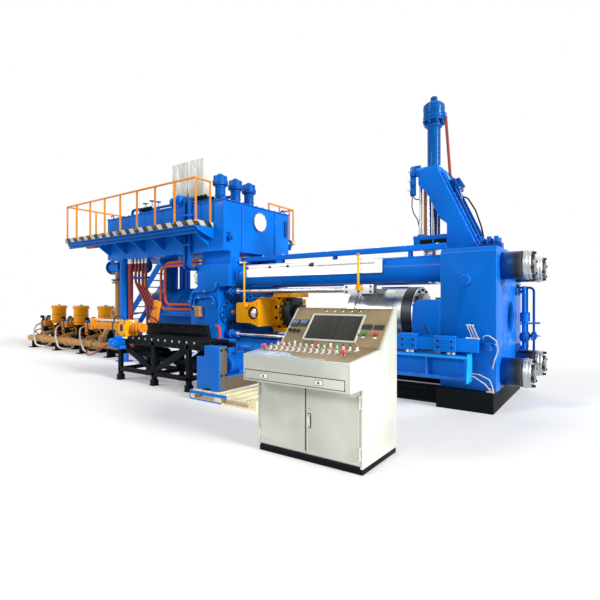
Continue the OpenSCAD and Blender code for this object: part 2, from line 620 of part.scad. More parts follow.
module hydraulic_hoses() color([0.62, 0.2, 0.16]) {
  for (i = [0:3]) tube([[stand_x - 350 + i * 130, hose_y, tank_z], [stand_x - 350 + i * 130, hose_y, 1830 - i * 50],
    [stand_x + 80 + i * 120, hose_y, 1290 - i * 20], [stand_x + 80 + i * 120, hose_y, 560]], 56);
  tube([[stand_x - 485, -880, tank_z], [stand_x - 485, -880, 700], [stand_x - 485, -840, 300],
    [stand_x, -840, 300]], 110, 160);
  for (i = [0:1]) tube([[boss_x - boss_t + 40, -792, tank_z - 130 - i * 80],
    [stand_x + 650 - i * 150, -792, tank_z - 130 - i * 80], [stand_x + 650 - i * 150, -792, 1330 - i * 100],
    [mid_x0, -792, 1330 - i * 100]], 56, 160);
}

module pump_beds() color([0.06, 0.06, 0.07]) for (x = pump_x) difference() {
  box(x - bed_w / 2, x + bed_w / 2, bed_y0, bed_y1, 0, bed_h);
  for (t = [-1, 1]) translate([x + t * bed_w / 2, 0, 0])
    box(-60, 60, bed_y0 + 40, bed_y1 - 40, 40, bed_h - 40);
}

module pump_motors() color([0.04, 0.16, 0.4]) for (x = pump_x) {
  translate([x, 300, pump_z]) rotate([-90, 0, 0]) rotate_extrude() polygon([[0, 0], [210, 0], [motor_d / 2 - 10, 60],
    [motor_d / 2 - 10, 100], [0, 100]]);
  translate([x, 399, pump_z]) rotate([-90, 0, 0]) linear_extrude(height = 522) polygon(finned(motor_d / 2, 26, 26));
  translate([x, 920, pump_z]) rotate([-90, 0, 0]) rotate_extrude() polygon([[0, 0], [motor_d / 2 + 8, 0],
    [motor_d / 2 + 8, 190], [motor_d / 2 - 40, 230], [0, 230]]);
  box(x - 260, x + 260, 420, 1060, bed_h, 330);
  box(x - 100, x + 100, 500, 820, 690, 830);
}

module pumps() color([0.74, 0.48, 0.08]) for (x = pump_x) {
  translate([x, 0, pump_z]) rotate([-90, 0, 0]) rotate_extrude() polygon([[0, pump_face], [130, pump_face],
    [130, pump_face + 50], [150, pump_face + 70], [150, 110], [200, 240], [200, 300], [0, 300]]);
  box(x - 170, x + 170, -100, 180, bed_h, 380);
  box(x - 420, x - 140, -260, -20, 420, 760);
  bar_z(600, canister_z, 160, x + 60, 60);
}

module suction_canisters() color([0.9, 0.7, 0.12]) for (x = pump_x) {
  bar_z(canister_z, canister_z + canister_h, canister_d, x + 60, 60);
  bar_z(canister_z + canister_h - 40, canister_z + canister_h + 25, canister_d + 60, x + 60, 60);
}

module pump_hoses() color([0.8, 0.8, 0.76]) for (x = pump_x) {
  tube([[x - 360, -120, 760], [x - 360, -120, 1060], [x - 480, -310, 1060], [x - 480, -310, 170]], 50, 100);
  tube([[x - 220, -140, 760], [x - 220, -140, 940], [x - 140, -420, 860], [x - 75, -430, pump_z + 70],
    [x - 75, pump_face, pump_z + 70]], 44, 70);
}

module rack_frame() color([0.04, 0.04, 0.05]) {
  for (x = [rack_x0 + 70, rack_x0 + 1033, rack_x0 + rack_len - 341]) {
    for (y = [rack_y0, rack_y0 + rack_depth - rack_bar]) box(x - rack_bar / 2, x + rack_bar / 2, y, y + rack_bar, 0, rack_h);
    for (z = [160, rack_h - rack_bar]) box(x - rack_bar / 2, x + rack_bar / 2, rack_y0, rack_y0 + rack_depth, z, z + rack_bar);
  }
  for (y = [rack_y0, rack_y0 + rack_depth - rack_bar]) {
    box(rack_x0, rack_x0 + rack_len, y, y + rack_bar, rack_h - 80, rack_h);
    box(rack_x0 + 35, rack_x0 + rack_len - 306, y, y + rack_bar, 160, 160 + rack_bar);
  }
  for (x = [rack_x0 + 105, rack_x0 + 1068]) plate_xz(rack_y0 + 10, rack_y0 + 60, [[x, rack_h - 78],
    [x + 70, rack_h - 78], [x + 410, 290], [x + 750, rack_h - 78], [x + 820, rack_h - 78],
    [x + 450, 228], [x + 370, 228]]);
  box(rack_x0, rack_x0 + rack_len, rack_y0 + rack_depth, rack_y0 + rack_depth + 70, rack_h - 80, rack_h + 250);
}

module rack_conveyor() color([0.1, 0.1, 0.11])
  for (i = [0:10]) let (x = rack_x0 + 300 + i * (rack_len - 480) / 10)
    plate_xz(rack_y0 + 15, rack_y0 + rack_depth - 15, [[x, rack_h], [x + 120, rack_h], [x + 120, rack_h + 50],
      [x + 80, rack_h + 20], [x + 40, rack_h + 20], [x, rack_h + 50]]);

module billet_pusher() color([0.86, 0.42, 0.05]) {
  difference() {
    union() {
      bar_x(rack_x0 - 950, rack_x0 + 1, pusher_d, pusher_y, pusher_z);
      bar_x(rack_x0 - 70, rack_x0 + 1, pusher_d + 50, pusher_y, pusher_z);
      bar_x(rack_x0 - 1000, rack_x0 - 949, pusher_d + 40, pusher_y, pusher_z);
      box(rack_x0, rack_x0 + 230, pusher_y - 120, pusher_y + 120, rack_h, pusher_z + 120);
    }
    bar_x(rack_x0 - 900, rack_x0 + 231, 81, pusher_y, pusher_z);
  }
  plate_xz(rack_y0 + rack_depth + 5, rack_y0 + rack_depth + 65, [[rack_x0 + 110, rack_h + 250],
    [rack_x0 + 230, rack_h + 250], [rack_x0 + 320, rack_h + 610], [rack_x0 + 290, rack_h + 650],
    [rack_x0 + 220, rack_h + 640], [rack_x0 + 195, rack_h + 590]]);
}

module pusher_rod() color([0.7, 0.7, 0.72]) translate([0, pusher_y, pusher_z]) {
  bar_x(rack_x0 - 430, rack_x0 + 300, 80, 0, 0);
  lathe_x(rack_x0 + 290, 1) polygon([[0, 0], [90, 0], [90, 40], [60, 40], [60, 80], [105, 80], [105, 120],
    [65, 120], [65, 160], [110, 160], [110, 205], [70, 205], [70, 250], [95, 250], [95, 290], [0, 290]]);
}

module loader_base() color([0.04, 0.24, 0.58]) {
  plate_yz(loader_x0, loader_x1, [[-2490, pallet_h], [-1300, pallet_h], [-1300, 640], [-1300 - loader_wall, 640],
    [-1300 - loader_wall, pallet_h + 200], [-2490 + loader_wall, pallet_h + 200],
    [-2490 + loader_wall, 607], [-2490, 607]]);
  box(loader_x0 + 160, loader_x1, -2490, -2490 + loader_wall, 606, 773);
}

module drive_motors() color([0.03, 0.3, 0.75]) {
  bar_y(-2150, -1700, 260, loader_x0 + 260, pallet_h + 330);
  box(loader_x0 + 150, loader_x0 + 370, -1980, -1760, pallet_h + 200, pallet_h + 330);
  bar_y(-2500, rack_y0, 150, rack_x0 + 190, rack_h - 60);
  bar_y(-2560, -2499, 170, rack_x0 + 190, rack_h - 60);
}

module pallet() color([0.6, 0.45, 0.28]) translate([pallet_x0, 0, 0]) {
  for (i = [0:6]) box(i * 187, i * 187 + 150, -2590, -1200, pallet_h - 25, pallet_h);
  for (y = [-2590, -1950, -1310]) box(0, 1272, y, y + 110, 0, pallet_h - 25);
}

module console_plinth() color([0.04, 0.04, 0.04])
  box(desk_x0 + 6, desk_x1 - 6, cab_y0 + 15, desk_yb - 5, 0, 55);

module desk_profile(x0, x1) plate_yz(x0, x1, [[desk_y0, 707], [desk_y0, 945], [-3317, 1000],
  [-3010, desk_h], [desk_yb, desk_h], [desk_yb, 55], [cab_y0, 55], [cab_y0, 707]]);

module console_cabinet() color([0.78, 0.8, 0.82]) {
  desk_profile(desk_x0, desk_x0 + desk_wall);
  desk_profile(desk_x1 - desk_wall, desk_x1);
  box(desk_x0 + desk_wall - 0.5, desk_x1 - desk_wall + 0.5, desk_yb - desk_wall, desk_yb, 55, desk_h);
  box(desk_x0 + desk_wall - 0.5, desk_x1 - desk_wall + 0.5, cab_y0 + 40, desk_yb - desk_wall + 0.5, 55, 75);
  for (side = [0, 1]) for (z = [150, 570]) hinge_side(side) {
    bar_z(z - 26, z + 86, 8, 0, 0);
    for (h = [z - 26, z + 62]) {
      bar_z(h, h + 24, hinge_d, 0, 0);
      box(-16, 0, hinge_d / 2 - 3, hinge_d / 2 + 1.5, h, h + 24);
    }
  }
}

module hinge_side(side) translate([side == 0 ? desk_x0 + desk_wall + 2 : desk_x1 - desk_wall - 2, cab_y0 - hinge_d / 2 - 1, 0])
  mirror([side, 0, 0]) children();

module knuckles(side) for (z = [150, 570]) hinge_side(side) difference() {
  union() {
    bar_z(z + 0.5, z + 59.5, hinge_d, 0, 0);
    box(0, 30, hinge_d / 2 - 3, hinge_d / 2 + 1.5, z + 0.5, z + 59.5);
  }
  bar_z(z, z + 60, 8.6, 0, 0);
}

module console_desk() color([0.74, 0.76, 0.78]) difference() {
  plate_yz(desk_x0 + desk_wall, desk_x1 - desk_wall, [[desk_y0, 707], [desk_y0, 945], [-3317, 1000],
    [-3317, 820], [cab_y0 + 40, 707]]);
  difference() {
    box(desk_x0 + 170 - door_gap, desk_x1 - 170 + door_gap, desk_y0 - 1, desk_y0 + 330, 725, 800 + door_gap);
    for (x = [desk_x0 + 176, desk_x1 - 196]) box(x, x + 20, desk_y0 + 20, desk_y0 + 325, 724, 729.7);
  }
}

module console_panel() color([0.42, 0.36, 0.3])
  plate_yz(desk_x0 + desk_wall, desk_x1 - desk_wall, [[-3317, 1000], [-3010, desk_h],
    [desk_yb - desk_wall, desk_h], [desk_yb - desk_wall, desk_h - 20], [-3002, desk_h - 20], [-3297, 990], [-3317, 985]]);

module left_door() color([0.8, 0.82, 0.84]) {
  box(desk_x0 + desk_wall + door_gap, (desk_x0 + desk_x1) / 2 - door_gap / 2, cab_y0, cab_y0 + 20, 80, 700);
  knuckles(0);
}
module right_door() color([0.8, 0.82, 0.84]) {
  box((desk_x0 + desk_x1) / 2 + door_gap / 2, desk_x1 - desk_wall - door_gap, cab_y0, cab_y0 + 20, 80, 700);
  knuckles(1);
}
module keyboard_drawer() color([0.72, 0.74, 0.76]) {
  box(desk_x0 + 170, desk_x1 - 170, desk_y0, desk_y0 + 320, 730, 742);
  box(desk_x0 + 170, desk_x1 - 170, desk_y0, desk_y0 + 14, 730, 800);
  for (x = [desk_x0 + 170, desk_x1 - 182]) box(x, x + 12, desk_y0, desk_y0 + 320, 730, 770);
}

press_bases();
bed_beams();
front_platen();
main_platen();
tie_sleeves();
tie_rod_nuts();
main_cylinder();
return_cylinders();
cylinder_glands();
main_ram();
moving_crosshead();
extrusion_stem();
container_drum();
container_rings();
container_rods();
container_pointer();
position_board();
hose_tray();
die_cheeks();
die_stack();
front_slide();
shear_gallows();
shear_cylinder();
shear_guide();
shear_ram();
exit_pipes();
oil_tank();
tank_lid();
tank_supports();
walkway_decks();
front_rail();
rear_rail();
end_rails();
stair_stringers();
stair_treads();
return_filters();
oil_coolers();
suction_header();
suction_pipes();
valve_stand();
hydraulic_hoses();
pump_beds();
pump_motors();
pumps();
suction_canisters();
pump_hoses();
rack_frame();
rack_conveyor();
billet_pusher();
pusher_rod();
loader_base();
drive_motors();
pallet();
console_plinth();
console_cabinet();
console_desk();
console_panel();
left_door();
right_door();
keyboard_drawer();
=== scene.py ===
# %% [markdown]
# # A hydraulic extrusion press, dressed piece by piece
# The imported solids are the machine's real sizes. This lesson loads them as a fixed frame, gives every solid
# broken edges and a worked-out finish, and then adds what a fitter would bolt on: screws, pipes, hoses,
# gauges, rollers and the desk's buttons. Every added piece sits on a solid and rides on that solid's body.

# %% Load the frame
import json
import math
import random

import bmesh
import bpy
from mathutils import Matrix, Vector, noise


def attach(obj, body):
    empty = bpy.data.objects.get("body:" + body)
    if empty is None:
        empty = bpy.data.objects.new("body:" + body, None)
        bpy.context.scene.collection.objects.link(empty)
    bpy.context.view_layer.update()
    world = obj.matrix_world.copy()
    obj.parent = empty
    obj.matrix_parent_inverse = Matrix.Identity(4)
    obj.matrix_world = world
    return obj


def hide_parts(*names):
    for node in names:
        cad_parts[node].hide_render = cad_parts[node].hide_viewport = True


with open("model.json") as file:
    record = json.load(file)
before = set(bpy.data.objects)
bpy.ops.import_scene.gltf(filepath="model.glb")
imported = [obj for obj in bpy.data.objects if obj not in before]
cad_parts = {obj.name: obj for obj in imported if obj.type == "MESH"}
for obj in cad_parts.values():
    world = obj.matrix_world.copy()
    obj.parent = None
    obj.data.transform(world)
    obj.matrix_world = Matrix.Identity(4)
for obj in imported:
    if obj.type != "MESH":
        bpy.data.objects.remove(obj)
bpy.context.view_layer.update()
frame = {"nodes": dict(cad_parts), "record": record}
record = frame["record"]
body_of_node = {n: b for b, members in record["behaviour"]["bodies"].items() for n in members}

# %% [markdown]
# ## Camera
# The photograph was taken level, at standing eye height, with a slightly wide lens. A level camera keeps
# every post upright in the picture, so the view is set by one turn about Z and a small vertical shift.

# %% Camera
scene = bpy.context.scene
scene.view_settings.view_transform = "Standard"
camera = bpy.data.objects.new("camera", bpy.data.cameras.new("camera"))
scene.collection.objects.link(camera)
camera.location = (1.546, -6.87, 1.45)
camera.rotation_euler = (math.radians(90), 0, math.radians(35.26))
camera.data.sensor_width = 36
camera.data.lens = 26.285
camera.data.shift_y = -0.002
camera.data.clip_end = 200
scene.camera = camera
print("camera at", tuple(round(c, 2) for c in camera.location))

# %% [markdown]
# ## Finishes
# A finish is one material. Shader maths reads best as plain expressions, so a small class wraps a socket
# and turns +, -, * and comparisons into Math nodes. Every other node comes from one method that takes its
# type, its settings and what goes into its sockets. Patterns read Object coordinates: all pieces stay at
# the origin, so one metre in the pattern is one metre on the machine.


# %% The shader maths class
class Wire:
    """A shader value. Arithmetic on it adds Math nodes to its finish."""

    def __init__(self, finish, socket):
        self.finish, self.socket = finish, socket

    def maths(self, operation, *values):
        return self.finish.node("ShaderNodeMath", {"operation": operation}, dict(enumerate(values)))

    def __add__(self, other):
        return self.maths("ADD", self, other)

    def __sub__(self, other):
        return self.maths("SUBTRACT", self, other)

    def __rsub__(self, other):
        return self.maths("SUBTRACT", other, self)

    def __mul__(self, other):
        return self.maths("MULTIPLY", self, other)

    def __gt__(self, other):
        return self.maths("GREATER_THAN", self, other)

    def __mod__(self, other):
        return self.maths("FLOORED_MODULO", self, other)

    __radd__, __rmul__ = __add__, __mul__

    def between(self, low, high):
        """0 below low, 1 above high, smooth in the middle."""
        return self.finish.node("ShaderNodeMapRange", {"interpolation_type": "SMOOTHSTEP"},
                                {"Value": self, "From Min": low, "From Max": high})


class Finish:
    """A material with one method that adds any node to it."""

    def __init__(self, name, **fixed):
        self.material = bpy.data.materials.new(name)
        self.material.use_nodes = True
        self.tree = self.material.node_tree
        self.shader = self.tree.nodes["Principled BSDF"]
        self.place = self.node("ShaderNodeTexCoord", out="Object")
        for socket, value in fixed.items():
            self.feed(socket.replace("_", " "), value)

    def node(self, kind, settings=None, inputs=None, out=0):
        made = self.tree.nodes.new(kind)
        for name, value in (settings or {}).items():
            if name == "stops":
                for element, (at, colour) in zip(made.color_ramp.elements, value):
                    element.position, element.color = at, (*colour, 1)
            else:
                setattr(made, name, value)
        for name, value in (inputs or {}).items():
            self.join(made.inputs[name], value)
        return Wire(self, made.outputs[out])

    def join(self, socket, value):
        if isinstance(value, Wire):
            self.tree.links.new(value.socket, socket)
        else:
            socket.default_value = (*value, 1) if hasattr(value, "__len__") and len(value) == 3 \
                and socket.type == "RGBA" else value

    def feed(self, name, value):
        self.join(self.shader.inputs[name], value)

    def noise(self, scale, detail=3, stretch=(1, 1, 1)):
        where = self.node("ShaderNodeMapping", {}, {"Vector": self.place, "Scale": stretch})
        return self.node("ShaderNodeTexNoise", {}, {"Vector": where, "Scale": scale, "Detail": detail})

    def axis(self, index):
        return self.node("ShaderNodeSeparateXYZ", {}, {"Vector": self.place}, out=index)

    def mix(self, low, high, factor):
        return self.node("ShaderNodeMix", {"data_type": "RGBA"}, {0: factor, 6: low, 7: high}, out=2)

    def bump(self, height, strength, depth):
        self.feed("Normal", self.node("ShaderNodeBump", {}, {"Height": height, "Strength": strength,
                                                               "Distance": depth}))


def shade(colour, k):
    return tuple(min(1.0, c * k) for c in colour)


print("finish tools ready")

# %% [markdown]
# ### Sprayed paint
# Shop paint on castings is never one flat colour: it is a little uneven over a metre, dulled by dust near
# the floor, has a fine orange-peel skin, and is knocked off along edges; the bevelled edges are also painted
# paler, a painted highlight. The bevels of each solid carry an edge attribute, so the chips and the painted
# highlight follow the real edges. White paint, the scale board's too, glows a little: painted light, as it is
# no lamp.


# %% Paints
def paint(name, colour, rough=0.36, coat=0.16, bare=(0.33, 0.34, 0.36), dust=0.14, glow=0.0):
    finish = Finish(name, Specular_IOR_Level=0.05, Coat_Weight=coat, Coat_Roughness=0.1, Coat_IOR=1.3,
                    Emission_Strength=glow)
    cloud, fleck = finish.noise(0.9, 4), finish.noise(45, 3)
    streak = finish.noise(2.2, 4, (3, 3, 0.35))
    edge = finish.node("ShaderNodeAttribute", {"attribute_name": "worn"}, out="Fac")
    chip = (edge * fleck).between(0.58, 0.66)
    low = (1 - finish.axis("Z").between(0.0, 0.9)) * cloud * dust
    tone = finish.mix(shade(colour, 0.84), shade(colour, 1.1), cloud.between(0.35, 0.68))
    tone = finish.mix(tone, shade(colour, 0.72), streak.between(0.56, 0.78) * 0.5)
    tone = finish.mix(tone, (0.22, 0.2, 0.17), low)
    # the bevel faces are painted paler: a painted highlight along the edges, while the chips are wear
    tone = finish.mix(tone, tuple(min(1.0, 1.3 * c + 0.02) for c in colour), edge * 0.5)
    finish.feed("Base Color", finish.mix(tone, bare, chip * 0.35))
    # a glow above zero makes the paint glow: painted light, as it is no lamp
    finish.feed("Emission Color", tone)
    finish.feed("Roughness", rough + 0.2 * (cloud - 0.5) + 0.25 * low + 0.1 * fleck)
    finish.bump(fleck, 0.12, 0.002)
    return finish


finishes = {
    "blue_paint": paint("press blue", (0.0, 0.145, 0.625)),
    "dark_blue": paint("shaded blue", (0.0, 0.088, 0.38)),
    # a darker copy of the press blue, with the same slot, for the shear cylinder: painted shade
    "mid_blue": paint("cylinder shaded blue", (0.0, 0.090, 0.335)),
    # a paler, cyan copy of the press blue for faces in strong light: painted light
    "light_blue": paint("painted lit blue", (0.004, 0.36, 0.86)),
    "black_paint": paint("frame black", (0.004, 0.006, 0.008), 0.5, 0.04, (0.05, 0.05, 0.05), 0.01),
    "amber_paint": paint("crosshead amber", (0.98, 0.41, 0.004), 0.34, 0.25),
    "orange_paint": paint("rail orange", (0.70, 0.235, 0.014), 0.36, 0.3),
    "ochre_paint": paint("pipe ochre", (0.50, 0.26, 0.09), 0.45, 0.2),
    "canister_yellow": paint("canister yellow", (0.96, 0.37, 0.006), 0.35, 0.25),
    # the white paint glows at 0.35: painted light
    "white_paint": paint("board white", (0.88, 0.88, 0.86), 0.4, 0.2, (0.5, 0.5, 0.5), 0.05, 0.35),
    "desk_grey": paint("desk grey", (0.545, 0.56, 0.50), 0.38, 0.12, (0.7, 0.7, 0.66), 0.02),
}
print(len(finishes), "paints")

# %% [markdown]
# ### Bare metal, rubber, wood and film
# Turned steel shows fine rings and smears of oil, chrome is smoother, hoses have a woven cover, timber has
# long grain, and the coolers are still wrapped in milky packing film. Each is a short recipe on the same
# tools.


# %% Metals and the rest
def metal(name, colour, rough, smear=0.18, grain=(2, 2, 2), metallic=1.0):
    finish = Finish(name, Metallic=metallic)
    oil, line = finish.noise(3, 4), finish.noise(60, 2, grain)
    edge = finish.node("ShaderNodeAttribute", {"attribute_name": "worn"}, out="Fac")
    tone = finish.mix(shade(colour, 0.7), shade(colour, 1.08), oil.between(0.32, 0.62))
    # the bevel faces are painted paler: partly wear, partly a painted highlight
    finish.feed("Base Color", finish.mix(tone, shade(colour, 1.35), edge * 0.5))
    finish.feed("Roughness", rough + smear * (oil - 0.5) + 0.12 * line)
    finish.bump(line, 0.1, 0.001)
    return finish


def hose_cover(name, colour):
    finish = Finish(name, Specular_IOR_Level=0.35)
    weave, cloud = finish.noise(150, 1), finish.noise(1.7, 3)
    tone = finish.mix(shade(colour, 0.62), shade(colour, 1.12), cloud.between(0.3, 0.7))
    finish.feed("Base Color", finish.mix(tone, shade(colour, 0.5), weave * 0.4))
    finish.feed("Roughness", 0.5 + 0.2 * weave)
    finish.bump(weave, 0.3, 0.002)
    return finish


def timber(name):
    finish = Finish(name)
    grain, knot = finish.noise(9, 5, (5, 0.5, 5)), finish.noise(1.6, 2)
    tone = finish.node("ShaderNodeValToRGB", {"stops": [(0.3, (0.60, 0.48, 0.28)),
            (0.68, (0.95, 0.86, 0.58))]}, {"Fac": grain})
    finish.feed("Base Color", finish.mix(tone, (0.72, 0.72, 0.60), knot.between(0.5, 0.75) * 0.5))
    finish.feed("Roughness", 0.62 + 0.25 * grain)
    finish.bump(grain, 0.4, 0.003)
    return finish


def packing_film(name):
    finish = Finish(name, Coat_Weight=0.5, Coat_Roughness=0.12)
    fold, cloud = finish.noise(3, 3, (2, 2, 0.5)), finish.noise(2.5, 3)
    tone = finish.node("ShaderNodeValToRGB", {"stops": [(0.3, (0.40, 0.40, 0.36)),
            (0.66, (0.74, 0.73, 0.69))]}, {"Fac": fold})
    low = 1 - finish.axis("Z").between(3.45, 3.95)
    tone = finish.mix(tone, (0.40, 0.41, 0.20), low * cloud.between(0.3, 0.6))
    finish.feed("Base Color", tone)
    finish.feed("Roughness", 0.22 + 0.3 * cloud)
    finish.bump(fold, 0.3, 0.02)
    return finish


def nut_steel(name):
    finish = Finish(name, Metallic=0.85)
    oil, turned = finish.noise(3, 4), finish.noise(30, 2, (8, 0.4, 0.4))
    bright = (finish.axis("X").between(0.56, 0.72) + 1 - finish.axis("X").between(-5.70,
            -5.54)) * (0.5 + 0.5 * oil)
    blue = (1 - finish.axis("X").between(0.42, 0.60)) * finish.axis("X").between(-5.58, -5.40)
    tone = finish.mix((0.022, 0.024, 0.028), (0.004, 0.075, 0.27), blue)
    finish.feed("Base Color", finish.mix(tone, (0.40, 0.41, 0.41), bright * turned.between(0.35, 0.65)))
    finish.feed("Roughness", 0.24 + 0.2 * oil)
    return finish


finishes.update({
    "nut_steel": nut_steel("nut steel"),
    "bronze_panel": metal("panel bronze", (0.26, 0.19, 0.095), 0.44, 0.1, (12, 0.4, 0.4), 0.3),
    "chrome": metal("chrome", (0.78, 0.79, 0.80), 0.12, 0.12),
    "dark_steel": metal("oiled steel", (0.032, 0.036, 0.042), 0.36, 0.2, metallic=0.7),
    "bright_steel": metal("turned steel", (0.60, 0.61, 0.60), 0.28, 0.2),
    "red_hose": hose_cover("red hose", (0.34, 0.035, 0.03)),
    "white_hose": hose_cover("pale hose", (0.70, 0.68, 0.62)),
    "wood": timber("pallet timber"),
    "film_wrap": packing_film("packing film"),
    "black_rubber": hose_cover("black rubber", (0.012, 0.012, 0.013)),
    "orange_hose": hose_cover("orange hose", (0.62, 0.09, 0.025)),
})
print(len(finishes), "finishes in all")

# %% [markdown]
# ## Building tools
# A `Form` collects closed shapes in one bmesh: blocks with broken edges, turned parts from a profile,
# plates from an outline. Its `piece` call makes the object, rides it on a body and names its finish.
# Screws, pipes and rows are rules rather than shapes, so they come from Geometry Nodes further down.


# %% Forms and pieces
LEFT, RIGHT, FRONT, BACK = (-1, 0, 0), (1, 0, 0), (0, -1, 0), (0, 1, 0)
DOWN, UP = (0, 0, -1), (0, 0, 1)
slot_of = {"nut_steel": "dark_steel", "mid_blue": "blue_paint"}


def frame_along(direction):
    """A turn that takes Z to the given direction."""
    return Vector(direction).to_track_quat("Z", "Y").to_matrix().to_4x4()


def settle(mesh, name, body, finish, slot=None, replaces=(), crease=38):
    """Turns a plain mesh into a finished piece on its body."""
    mesh.name = name
    mesh.materials.clear()
    mesh.materials.append(finishes[finish].material)
    mesh.polygons.foreach_set("use_smooth", [True] * len(mesh.polygons))
    mesh.polygons.foreach_set("material_index", [0] * len(mesh.polygons))
    mesh.set_sharp_from_angle(angle=math.radians(crease))
    made = bpy.data.objects.new(name, mesh)
    scene.collection.objects.link(made)
    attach(made, body)
    if replaces:
        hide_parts(*replaces)
    slot or slot_of.get(finish, finish)
    return made


class Form:
    """Closed shapes gathered in one mesh."""

    def __init__(self):
        self.bm = bmesh.new()
        self.worn = self.bm.faces.layers.float.new("worn")

    def block(self, low, high, edge=0.004):
        size = Vector(high) - Vector(low)
        place = Matrix.Translation((Vector(low) + Vector(high)) / 2) @ Matrix.Diagonal((*size, 1))
        corners = bmesh.ops.create_cube(self.bm, size=1, matrix=place)["verts"]
        return self._broken([e for v in corners for e in v.link_edges], min(edge, min(size) * 0.3))

    def slab(self, centre, size, turn, edge=0.004):
        """A block set at a turn: size along its own axes."""
        place = Matrix.Translation(centre) @ turn.to_4x4() @ Matrix.Diagonal((*size, 1))
        corners = bmesh.ops.create_cube(self.bm, size=1, matrix=place)["verts"]
        return self._broken([e for v in corners for e in v.link_edges], min(edge, min(size) * 0.3))

    def _broken(self, edges, width):
        if width > 0:
            made = bmesh.ops.bevel(self.bm, geom=list(dict.fromkeys(edges)), offset=width, segments=2,
                                   profile=0.6, affect="EDGES")
            for face in made["faces"]:
                face[self.worn] = 1.0
        return self

    def turned(self, base, direction, profile, sides=32):
        """A lathe part: profile is (distance along, radius) pairs, closed at both ends on the axis."""
        place = Matrix.Translation(base) @ frame_along(direction)
        rings = []
        for along, radius in profile:
            ring = [self.bm.verts.new(place @ Vector((radius * math.cos(2 * math.pi * k / sides),
                                                      radius * math.sin(2 * math.pi * k / sides), along)))
                    for k in range(sides)]
            rings.append(ring)
        for a, b in zip(rings, rings[1:]):
            for k in range(sides):
                j = (k + 1) % sides
                self.bm.faces.new((a[k], a[j], b[j], b[k]))
        self.bm.faces.new(rings[0][::-1])
        self.bm.faces.new(rings[-1])
        return self

    def rod(self, start, end, diameter, sides=24, edge=0.003):
        span = Vector(end) - Vector(start)
        r, length = diameter / 2, span.length
        c = min(edge, r * 0.4, length * 0.3)
        return self.turned(start, span, [(0, r - c), (c, r), (length - c, r), (length, r - c)], sides)

    def ring(self, base, direction, outer, inner, length, sides=48, edge=0.004):
        """A turned ring with a hole through it."""
        place = Matrix.Translation(base) @ frame_along(direction)
        c = min(edge, length * 0.3, (outer - inner) * 0.12)
        outline = [(c, outer / 2), (length - c, outer / 2), (length, outer / 2 - c), (length, inner / 2),
                   (0, inner / 2), (0, outer / 2 - c)]
        loops = [[self.bm.verts.new(place @ Vector((r * math.cos(2 * math.pi * k / sides),
                                                    r * math.sin(2 * math.pi * k / sides), h)))
                  for h, r in outline] for k in range(sides)]
        for k in range(sides):
            a, b = loops[k], loops[(k + 1) % sides]
            for i in range(len(outline)):
                j = (i + 1) % len(outline)
                self.bm.faces.new((a[i], b[i], b[j], a[j]))
        return self

    def plate(self, points, axis, low, high, edge=0.004):
        """A flat outline, pushed along an axis from low to high."""
        lift = {"X": lambda p, h: (h, p[0], p[1]), "Y": lambda p, h: (p[0], h, p[1]),
                "Z": lambda p, h: (p[0], p[1], h)}[axis]
        ends = [[self.bm.verts.new(lift(p, h)) for p in points] for h in (low, high)]
        faces = [self.bm.faces.new(ends[0]), self.bm.faces.new(ends[1][::-1])]
        for k in range(len(points)):
            j = (k + 1) % len(points)
            faces.append(self.bm.faces.new((ends[0][k], ends[1][k], ends[1][j], ends[0][j])))
        bmesh.ops.recalc_face_normals(self.bm, faces=faces)
        return self._broken([e for f in faces for e in f.edges], edge)

    def piece(self, name, finish, slot=None, replaces=(), body="press"):
        mesh = bpy.data.meshes.new(name)
        bmesh.ops.recalc_face_normals(self.bm, faces=self.bm.faces)
        self.bm.to_mesh(mesh)
        self.bm.free()
        return settle(mesh, name, body, finish, slot, replaces)


print("forms ready")

# %% [markdown]
# ## The solids with broken edges
# A sharp computer edge catches no light. Each solid is copied, its triangles are merged into flat faces,
# and every real edge gets a small bevel, whose faces are marked for the paint's chips and painted highlight.
# Separate lumps of one solid are bevelled apart, because one tight corner would otherwise shrink the bevel
# everywhere. Solids that later cells build anew aren't in the list.

# %% Which solid wears which finish
wears = {
    "blue_paint": "valve_stand front_platen main_platen tie_sleeves return_cylinders cylinder_glands "
                  "die_cheeks "
                  "front_slide shear_gallows shear_guide oil_tank tank_lid walkway_decks stair_stringers "
                  "loader_base drive_motors tank_supports suction_header exit_pipes hose_tray",
    "mid_blue": "shear_cylinder",
    "dark_blue": "main_cylinder pump_motors stair_treads return_filters",
    "black_paint": "press_bases bed_beams pump_beds rack_conveyor console_plinth pumps",
    "amber_paint": "moving_crosshead container_pointer",
    "orange_paint": "front_rail rear_rail end_rails",
    "ochre_paint": "suction_pipes",
    "canister_yellow": "suction_canisters",
    "white_paint": "position_board",
    "desk_grey": "console_cabinet console_desk left_door right_door keyboard_drawer",
    "bronze_panel": "console_panel",
    "chrome": "main_ram container_rods shear_ram",
    "dark_steel": "extrusion_stem die_stack",
    "nut_steel": "tie_rod_nuts",
    "bright_steel": "container_drum",
}
bevel_of = {"front_platen": 0.016, "main_platen": 0.016, "moving_crosshead": 0.014, "oil_tank": 0.006,
            "console_cabinet": 0.004, "console_desk": 0.004, "left_door": 0.003, "right_door": 0.003,
            "keyboard_drawer": 0.003, "console_panel": 0.003, "position_board": 0.003, "hose_tray": 0.003,
            "loader_base": 0.01, "die_cheeks": 0.012, "shear_gallows": 0.008,
            "rack_conveyor": 0.006, "tie_rod_nuts": 0.012, "container_drum": 0.01}
print(sum(len(names.split()) for names in wears.values()), "solids have a finish")


def lumps(bm):
    """Groups of faces that hang together, in a fixed order."""
    left = dict.fromkeys(bm.faces)
    while left:
        group, stack = [], [left.popitem()[0]]
        while stack:
            face = stack.pop()
            group.append(face)
            for edge in face.edges:
                for other in edge.link_faces:
                    if other in left:
                        del left[other]
                        stack.append(other)
        yield group


